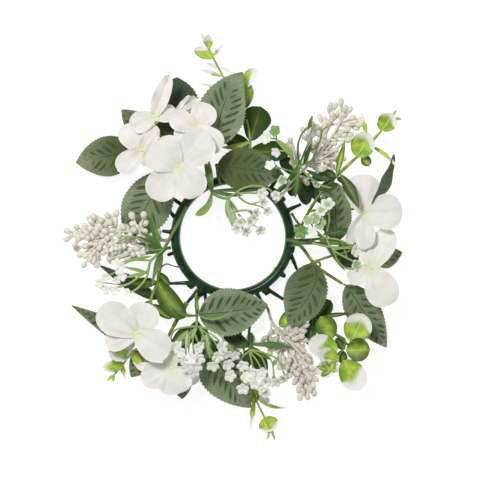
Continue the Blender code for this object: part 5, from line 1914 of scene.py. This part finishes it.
GYPSOPHILA = (
    GypsophilaSpray("gypsophila_left", stems=(
        Stem([(-35.4, 23.4, 10.6), (-40, 14, 10.6), (-44.6, 5.1, 10.8), (-50, -5, 13), (-53, -10.1, 15)],
            (1.25, 1.2), (0.15, 0.1)),
        Stem([(-53, -10.1, 15), (-62.9, -19.3, 21.5), (-64.4, -25.4, 23.5), (-70.5, -30, 25),
            (-78, -35.3, 26), (-88, -39.1, 26)], (1.1, 0.75), (0.3, 0.75)),
        Stem([(-62.9, -19.3, 21.5), (-64.4, -27.7, 24), (-66.7, -33, 25.5), (-72, -39.1, 26.5),
            (-80.4, -43.7, 27)], (0.95, 0.7), (0.45, 0.8)),
        Stem([(-53, -9.4, 15), (-62.9, -10.1, 22), (-66, -4.8, 26), (-72, -1, 28), (-84.2, 0.5, 29)],
            (0.85, 0.6), (0.4, 0.6)),
        Stem([(-62, -18, 21), (-75, -18, 24), (-84, -22, 26), (-87, -30, 27)], (0.75, 0.55), (0.4, 0.7)),
        Stem([(-54.5, -23.1, 6.5), (-50.7, -20.8, 7.5), (-45.3, -22.3, 10), (-37.7, -23.9, 10)],
            (0.6, 0.5), (-0.5, -0.5)),
        Stem([(-57, -32, 10), (-55, -24, 9), (-53.5, -14, 14)], (0.8, 0.9), (0.1, 0.2)),
    ), flowers=(
        (-84, -22, 29, 0.8), (-84, -30, 29, 0.8), (-88, -33, 28.5, 0.9), (-96, -31, 28, 1),
        (-96, -40, 28, 1), (-80, -42, 28, 0.8), (-89, -41, 28, 0.9), (-90, -7, 27, 0.6),
        (-88.5, -21, 27, 0.9), (-101, -35.5, 27, 1), (-86, -26, 28, 1),
    ), leaves=(
        SlimLeaf((-53, -10, 15), (-70.5, 3.6, 26), 2.8, 0.05, sway=1.5),
        SlimLeaf((-53, -10, 15), (-73.5, 0.5, 25), 2.4, -0.3, sway=1.2),
        SlimLeaf((-53, -10, 15), (-74.3, -4.8, 24), 2.6, -0.45, sway=1),
        SlimLeaf((-53, -10, 15), (-68, -13, 22), 3.4, -0.4),
        SlimLeaf((-53, -10, 15), (-62.1, 17.3, 27), 2.8, 0, sway=-2.7),
        SlimLeaf((-53, -10, 14.8), (-62.3, 18.5, 26.8), 4.5, 0.5, True, sway=-2.7),
        SlimLeaf((-54, -9, 15.5), (-57, 11, 25), 2.4, 0.25, sway=-2),
        SlimLeaf((-61.3, -14.7, 21), (-84.2, -19.3, 25), 2.6, 0.4),
        SlimLeaf((-65.2, -26.9, 23.5), (-82, -23.1, 25), 2.8, 0.4),
        SlimLeaf((-65.2, -26.9, 23.5), (-83.4, -31.5, 25), 2.6, 0.45),
        SlimLeaf((-53.5, -12, 14.5), (-61.3, -36.5, 22), 3, 0.1, sway=0.8),
        SlimLeaf((-53.5, -14, 14.3), (-61.3, -37.5, 21.8), 5, 0.8, True, sway=0.8),
        SlimLeaf((-53.5, -11, 14.5), (-60, -30, 20), 3.2, -0.4, sway=1.2),
    ), seed=31, flower_radius=3.9),
    GypsophilaSpray("gypsophila_upper_right", stems=(
        Stem([*crown_run(46, 0.9), (41, 42, 20), (46, 49, 28), (50.7, 54.6, 31)], (0.95, 0.95),
            (-0.2, 0.2)),
        Stem([(50.7, 54.6, 31), (49.5, 66.1, 33), (50.7, 73.7, 34), (54.5, 80.5, 34.5),
            (60.6, 84.4, 34.5)], (0.9, 0.65), (-0.3, 0)),
        Stem([(50.7, 54.6, 31), (53, 60, 32), (56, 67.6, 33.5), (60.6, 74.4, 35)], (0.8, 0.6), (0, 0.2)),
        Stem([(50.7, 54.6, 31), (55.2, 63.8, 32.5), (62.1, 66.8, 34), (66.7, 73.7, 35), (68.2, 80.5, 35),
            (72, 83.6, 35)], (0.85, 0.6), (-0.1, 0.2)),
        Stem([(50, 53.5, 30.7), (44.6, 60, 33), (39.2, 69.1, 34), (30.9, 75.2, 34)], (0.95, 0.7),
            (0.3, 0.5)),
        Stem([(50.7, 54.6, 31), (54.5, 49, 32), (59, 44.7, 32.5), (68.2, 38.6, 31.5), (75, 37.1, 31)],
            (0.8, 0.6), (0.4, 0.6)),
        Stem([(50.7, 54.6, 31), (49.9, 48, 31.5), (49.5, 44.7, 31.5), (46.1, 37.9, 31), (40, 34.4, 30.5),
            (34.7, 31.8, 30.5)], (0.85, 0.65), (0.1, 0.4)),
        Stem([(49.1, 48.5, 31), (40.8, 50.8, 31), (32.4, 53.1, 31.5)], (0.75, 0.6), (0.1, 0.4)),
    ), flowers=(
        (32.4, 80, 35.5, -1.4), (26, 75, 35, 1), (33.1, 64, 35.5, 1), (28.6, 54, 32, 0.9),
        (37.7, 43, 33, -0.6), (33.1, 31.3, 31.5, 0.3),
    ), leaves=(
        SlimLeaf((54, 55, 31), (60.6, 72.9, 34), 6, -0.7, True),
        SlimLeaf((54, 55, 30.8), (60, 71.5, 33.8), 3.2, -0.9),
        SlimLeaf((49.9, 50.1, 31), (47.6, 29.5, 30.5), 8.5, -0.2, True),
        SlimLeaf((49.9, 50.1, 30.8), (47.8, 32.5, 30.3), 2.6, -0.5),
        SlimLeaf((56, 50.8, 31), (72, 41.7, 30), 3.4, -0.7, arch=-0.5),
        SlimLeaf((57.5, 81.5, 34.5), (60.6, 92, 35), 3, -0.1),
        SlimLeaf((46, 59, 32.5), (31.5, 74.5, 34), 4.5, 0.45, sway=1.5),
        SlimLeaf((50.7, 54, 31), (43.5, 42, 29), 4, -0.6),
        SlimLeaf((50.7, 54, 31), (62, 58, 32), 4, -0.3, True),
    ), seed=32, flower_radius=4.7),
    GypsophilaSpray("gypsophila_over_hole", stems=(
        Stem([*crown_run(119, 0.9), (-22.5, 47, 19), (-19, 43, 26), (-15.5, 34, 28), (-8, 29.5, 29),
            (-3.4, 29, 29)], (1.3, 1.1), (0.1, 0.3)),
        Stem([(-14.9, 32.5, 28.2), (-8, 29.3, 29), (-3.4, 29.5, 29.2), (1.9, 32.5, 30), (5.7, 35.6, 31),
            (14.9, 38.6, 31.5), (22.5, 37.9, 31), (28.6, 35.6, 30.5), (31.6, 32, 30)], (0.95, 0.75),
            (0.4, 0.5)),
        Stem([(-3.4, 29.5, 29), (0.4, 18.8, 29), (4.2, 11.2, 28.5), (8, 5.1, 28)], (1.2, 0.8),
            (0.5, 0.8)),
        Stem([(3, 32.8, 30), (13, 33.3, 30), (20, 32.8, 30)], (0.85, 0.7), (0.5, 0.6)),
        Stem([(3.4, 31.8, 30), (8, 27.5, 29.8), (13.3, 24.9, 29.5), (17.9, 24.2, 29)], (0.85, 0.7),
            (0.5, 0.6)),
        Stem([(0.4, 18.8, 29), (8, 20, 29.2), (14.9, 19.6, 29)], (0.85, 0.7), (0.5, 0.65)),
        Stem([(4.2, 17.3, 29), (9, 12, 28.6), (13.3, 8.2, 28.5)], (0.9, 0.7), (0.5, 0.7)),
    ), flowers=(
        (3.4, 6.6, 30, 0.15), (10.3, 4.3, 29.5, 0.2), (13.3, 11.2, 30, 0), (21, 5.1, 30, 0.2),
        (17.9, 18.1, 30.5, 0.1), (26.3, 19.6, 30, 0.25), (23.2, 26.4, 30, -0.1), (22.5, 33, 31.5, 0.7),
        (33.1, 31.6, 31.5, 0.4), (16, 14, 29.5, 0.2), (6, 11, 29.5, 0.1),
    ), leaves=(
        SlimLeaf((-21, 57, 20), (-14.5, 34.5, 28), 4.4, -0.1, arch=2),
        SlimLeaf((-17.5, 56, 20), (-15, 34, 28), 3.4, 0.2, arch=2),
        SlimLeaf((-14.9, 35.2, 28), (30.1, 36, 27), 3.4, -0.6),
        SlimLeaf((-16, 35, 28), (8, 31.5, 27.5), 3.2, -0.4, sway=1.2),
        SlimLeaf((-16, 33.3, 28), (-28.6, 16.5, 27), 5.8, 0.3, sway=-3.8, widest=0.72),
        SlimLeaf((-3.8, 29, 28.8), (1, 6.5, 28), 5, 0.75, widest=0.6),
        SlimLeaf((-3.8, 29, 28.6), (1.5, 4.5, 27.8), 9.5, 0.8, True, widest=0.62),
        SlimLeaf((-3, 29, 29.2), (4.5, 18, 28.5), 4.4, 0.1, True),
        SlimLeaf((-4, 29, 28.6), (-3.5, 14, 28), 4, 0.5),
    ), seed=33, flower_radius=4.4),
    GypsophilaSpray("gypsophila_right", stems=(
        Stem([*crown_run(-3, 0.9), (57, -2.5, 13), (66, -1.5, 21), (71.2, -1, 25)], (1.1, 1), (0, 0.3)),
        Stem([(71.2, -1, 25), (72.8, 8.2, 27), (73.5, 15.8, 28), (72, 19.6, 28.5)], (0.9, 0.7),
            (0.3, 0.5)),
        Stem([(70.5, -1.1, 24.6), (79, -2, 27), (88, -5.5, 26.5), (92, -9, 26)], (0.85, 0.65),
            (0.4, 0.6)),
        Stem([(60.6, -4.6, 22), (72, -7.5, 26), (82, -8.2, 26), (89.5, -7.8, 26)], (0.9, 0.8),
            (0.5, 0.5)),
        Stem([(71.5, -2, 25), (76.5, -10, 26.6), (84.5, -15, 27.2), (94, -19.5, 27)], (0.9, 0.7),
            (0.45, 0.6)),
        Stem([(76.5, -11, 26.4), (80.5, -19, 26.4), (86.5, -24, 26), (92, -24.5, 25.5)], (0.8, 0.6),
            (0.3, 0.5)),
        Stem([(76.5, -10, 26.6), (84, -8.8, 27.4), (91.5, -8.8, 27)], (0.75, 0.6), (0.5, 0.6)),
        Stem([(71.8, 5, 26.3), (70.8, 12, 27.5), (68, 15.5, 28.3)], (0.75, 0.6), (0.3, 0.5)),
        Stem([(82.5, -2.8, 27), (85, -9.5, 26), (87, -16, 25)], (0.7, 0.6), (0.2, 0.4)),
        Stem([(70, -1, 24.2), (64, 4, 26), (58, 6.5, 26), (54, 5, 26)], (0.85, 0.65), (0.3, 0.5)),
        Stem([(45, 18, 9.8), (49.5, 11.2, 12), (54.5, 6.6, 18)], (1, 0.9), (-0.6, -0.3)),
    ), flowers=(
        (72.4, 24.4, 29.5, -0.1), (67.4, 20.2, 29.3, -0.1), (58, 12.2, 28.5, -0.9), (66.8, 9.8, 28.4, -1),
        (63, 14.2, 29, -0.7), (52, 3.6, 27.5, -1.4), (60.6, 3.4, 28, 0.9), (94.1, -10.1, 26.5, 1),
        (94.1, -21.4, 26.5, -0.6),
    ), leaves=(
        SlimLeaf((65.2, -4.8, 21), (40, -2.5, 16.5), 7, -0.4, True),
        SlimLeaf((65.2, -4.8, 20.7), (42, -2.8, 16.2), 4, -0.9),
        SlimLeaf((64, -1.5, 21.5), (43, -7, 16.5), 5, -0.2, True),
        SlimLeaf((69, 1.5, 25.5), (91.5, 5.5, 28), 6.5, -0.2, True, sway=-1),
        SlimLeaf((69, 1.5, 25.8), (91, 5.4, 28.2), 4, -0.7, sway=-1),
        SlimLeaf((69, -3, 24), (86, -26.5, 25), 5.5, -0.5, True),
        SlimLeaf((69, -3, 24), (84.5, -25, 25), 2.6, -0.8),
        SlimLeaf((66, -3, 22), (86, -4.5, 25), 3.6, -0.2),
    ), seed=34, flower_radius=5),
    GypsophilaSpray("gypsophila_bottom_left", stems=(
        Stem([*wall_run(241, 5), (-28, -50, 7), (-27.6, -56, 11.5), (-27.2, -60, 20), (-27.1, -64, 27),
            (-27.1, -68, 31)], (1, 1.1), (-0.6, 0.45)),
        Stem([(-27.1, -68, 31), (-36.2, -68.8, 32), (-43.8, -71.1, 32), (-46.9, -77.2, 32),
            (-47.6, -82, 31.5)], (0.85, 0.65), (0.5, 0.65)),
        Stem([(-27.1, -68, 31), (-32.4, -74.1, 32.5), (-40, -78.7, 32)], (0.8, 0.6), (0.5, 0.65)),
        Stem([(-27.8, -69.6, 31), (-34.7, -82.5, 33), (-35.4, -92.4, 32.5)], (0.75, 0.6), (0.5, 0.65)),
        Stem([(-27.1, -69.6, 31.5), (-30.1, -78.7, 33), (-28.6, -90.9, 33)], (0.75, 0.6), (0.5, 0.65)),
        Stem([(-24.8, -69.6, 31.2), (-20.2, -78.7, 33), (-17.9, -86.3, 33), (-17.1, -92.4, 33)],
            (0.75, 0.6), (0.5, 0.65)),
        Stem([(-24.5, -69.5, 31.2), (-15.6, -77.2, 33), (-11, -84, 33)], (0.8, 0.6), (0.5, 0.65)),
        Stem([(-26, -68.3, 31), (-22.5, -68.8, 32), (-13.3, -71.9, 34), (-7.2, -77.2, 34),
            (-5, -82.5, 33.5)], (0.85, 0.65), (0.5, 0.65)),
    ), flowers=(
        (-43.1, -83, 32.5, 1), (-25.5, -84, 34, 1), (-8, -83.3, 35, 1), (1.9, -90.1, 35, 1),
        (-11, -90.9, 35, 1), (-14.9, -97.8, 34.5, 1), (-3.4, -97, 35, 1), (-1.9, -105.4, 34, 1),
        (8, -97.8, 34, 1), (-37, -94, 34.5, 1), (-30.9, -92.4, 35.5, 1), (-25.5, -92.4, 35, 1),
        (-33.9, -99.3, 34, 1), (-27.8, -98.5, 34.5, 1), (-29.3, -103.1, 33.5, 1), (-4, -89, 35.5, 1),
        (-39.5, -87.5, 33.5, 1),
    ), leaves=(
        SlimLeaf((-26.5, -59.5, 20), (1.9, -54.2, 24), 4.6, 0, True, sway=4.8),
        SlimLeaf((-26.5, -59.8, 20.3), (1, -55, 24.3), 1.8, 0.3, sway=4.8),
        SlimLeaf((-27, -59.5, 20), (-47.6, -52, 22), 4.6, -0.3, True, sway=-3),
        SlimLeaf((-27, -60, 20.3), (-46, -53, 22.3), 1.8, 0.1, sway=-3),
        # These four broad dark leaves lie low under the flowers: partly dark leaves, partly painted shade, a
        # dark sheet where deep shadow falls among the strands
        SlimLeaf((-27, -64, 22), (-39, -88, 22), 8, -0.85),
        SlimLeaf((-26, -66, 22), (-14, -88, 22), 7, -0.8),
        SlimLeaf((-33, -69, 20), (-46, -81, 20), 8, -0.9),
        SlimLeaf((-27, -64, 21), (-26, -86, 21), 9, -0.9),
        SlimLeaf((-33.5, -71, 31.5), (-45, -82, 31), 5.5, 0.6, True),
        SlimLeaf((-33.5, -71, 31.3), (-44, -81, 30.8), 2.6, 0.45),
        SlimLeaf((-30.5, -70, 31), (-39.5, -84, 30.5), 4, 0.3, True),
        SlimLeaf((-20, -73.5, 32.2), (-17.3, -91, 32), 6.5, 0.75, True),
        SlimLeaf((-20, -73.5, 32), (-17.6, -90, 31.8), 2.8, 0.55),
        SlimLeaf((-34.3, -72, 32.5), (-35.6, -89, 32.5), 2, 0.85),
        SlimLeaf((-33, -72, 32), (-33.3, -89, 32), 2, 0.45),
        SlimLeaf((-27.5, -69, 31.5), (-33.2, -80, 31.5), 1.7, 0.65),
        SlimLeaf((-29.5, -71.5, 31), (-25, -83, 31), 1.6, 0.3),
        SlimLeaf((-18.7, -73.5, 32), (-25, -81, 31.5), 1.7, 0.6),
        SlimLeaf((-22, -71, 31.6), (-24.5, -87, 31.5), 1.8, 0.3),
        SlimLeaf((-18.5, -72, 31.6), (-8.5, -80, 32), 1.7, 0.6),
    ), seed=35, flower_radius=4.7),
    GypsophilaSpray("gypsophila_bottom_right", stems=(
        Stem([*wall_run(286, 4), (14, -62, 6.5), (12.5, -74, 11), (14, -81, 21), (12.8, -87, 27)],
            (1.2, 1), (-0.4, 0.1)),
        Stem([(12.6, -87, 27), (7.2, -92, 29), (5.7, -103.1, 28.5), (8, -112, 28)], (0.8, 0.6),
            (0.4, 0.6)),
        Stem([(13, -87, 27), (19.4, -95.5, 29), (22.5, -103, 29)], (0.8, 0.6), (0.4, 0.6)),
        Stem([(13, -86.5, 27), (17.1, -87.9, 28.5), (22.5, -92.4, 29), (25.5, -100, 29),
            (27.1, -107, 29)], (0.8, 0.6), (0.4, 0.6)),
        Stem([(13, -86, 27), (24.8, -88.6, 29), (30.1, -95.5, 29.5), (31.6, -107.7, 29)], (0.8, 0.6),
            (0.4, 0.6)),
        Stem([(20, -87.2, 28.3), (32.4, -91.7, 29.5), (37.7, -98.5, 29.5), (38.5, -104, 29.5)],
            (0.75, 0.6), (0.4, 0.6)),
        Stem([(13, -88, 27.2), (15, -97, 28.5), (16, -106, 28.5)], (0.75, 0.6), (0.4, 0.6)),
    ), flowers=(
        (10.3, -106.9, 30.5, 1), (17.9, -104.6, 31, 1), (22.5, -103.1, 31, 0.9), (25.5, -110, 30.5, 0.3),
        (17.1, -112.2, 30, 1), (22.5, -113.8, 29.5, 0.9), (8, -115.3, 28.5, 1), (24.8, -117.8, 29, 0),
        (13.3, -109.5, 29.5, 1), (29.3, -110.7, 30.5, 0.7), (33.9, -110, 30.5, 0.5),
        (38.5, -107.7, 30, -0.3), (14, -103, 31, 0.9),
    ), leaves=(
        SlimLeaf((14.9, -81.5, 23), (46.1, -84.8, 24), 7.5, -0.15, True, sway=-1.5),
        SlimLeaf((14, -80.5, 20), (-1, -86, 25), 5, -0.4, True),
        SlimLeaf((13.5, -73, 14), (14.5, -87, 26), 6.5, -0.6, True),
        SlimLeaf((13, -74, 13.5), (14.3, -88, 25.5), 3.4, -0.8),
        SlimLeaf((14, -84, 24), (30, -94, 27), 3.6, -0.3),
        SlimLeaf((16, -82.5, 22.7), (44, -84.5, 23.7), 4.4, -0.3, sway=-1.5),
        # These two broad dark leaves lie low under the flowers: partly dark leaves, partly painted shade, a
        # dark sheet under the flowers and berries
        SlimLeaf((13, -84, 16), (26, -104, 14), 13, -1),
        SlimLeaf((12, -86, 16), (8, -104, 14), 9, -0.85),
    ), seed=36, flower_radius=4.5),
)


@dataclass
class Studio:
    """Pale table, soft light and a camera straight above."""

    reach: float = 381.0
    distance: float = 3200.0
    middle: Pair = (13.3, -10.1)
    focus_height: float = 18.0

    def floor(self) -> None:
        """Plain pale table top."""
        bpy.ops.mesh.primitive_plane_add(size=6.0, location=(0, 0, -0.0004))
        table = bpy.context.active_object
        table.name = "table_top"
        paint = Paint("table_top")
        paint.set(base_color=(0.4, 0.4, 0.4), roughness=0.9, specular_ior_level=0.1)
        paint.surface.inputs["Emission Color"].default_value = (1.0, 1.0, 1.0, 1.0)
        paint.surface.inputs["Emission Strength"].default_value = 0.82
        table.data.materials.append(paint.material)

    def light(self) -> None:
        """Even sky light with a large soft lamp from the upper left and a weak one from the right."""
        world = bpy.data.worlds.new("studio")
        bpy.context.scene.world = world
        world.use_nodes = True
        sky = world.node_tree.nodes["Background"]
        sky.inputs["Color"].default_value = (1.0, 1.0, 1.0, 1.0)
        sky.inputs["Strength"].default_value = 0.27
        for name, place, power, size in (
            ("key", (-0.6, 0.75, 1.6), 24.0, 0.5),
            ("fill", (1.0, -0.6, 1.4), 5.0, 1.2),
        ):
            bpy.ops.object.light_add(type="AREA", location=place)
            lamp = bpy.context.active_object
            lamp.name = name
            lamp.data.energy = power
            lamp.data.size = size
            lamp.rotation_euler = (-Vector(place)).to_track_quat("-Z", "Y").to_euler()

    def camera(self) -> None:
        """Long lens looking straight down."""
        data = bpy.data.cameras.new("camera")
        data.sensor_width = 36.0
        data.lens = 36.0 * self.distance / self.reach
        data.clip_end = 20.0
        camera = bpy.data.objects.new("camera", data)
        height = self.distance + self.focus_height
        camera.location = (self.middle[0] * MM, self.middle[1] * MM, height * MM)
        bpy.context.scene.collection.objects.link(camera)
        bpy.context.scene.camera = camera

    def build(self) -> None:
        """Floor, lights and camera."""
        self.floor()
        self.light()
        self.camera()
        bpy.context.scene.view_settings.view_transform = "Standard"
        bpy.context.scene.view_settings.look = "None"


def main() -> None:
    """Dress the ring, then set up the studio."""
    logging.basicConfig(level=logging.INFO, format="%(message)s")
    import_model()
    finishes = Finishes()
    blanks = Blanks()
    assemblies = (MouldedRing(), *HYDRANGEA_STEMS, *FLORETS, *LEAVES, *SPRIGS, *BERRY_SPRAYS, *GYPSOPHILA)
    for assembly in assemblies:
        assembly.build(blanks, finishes)
    Studio().build()


if __name__ == "__main__":
    main()
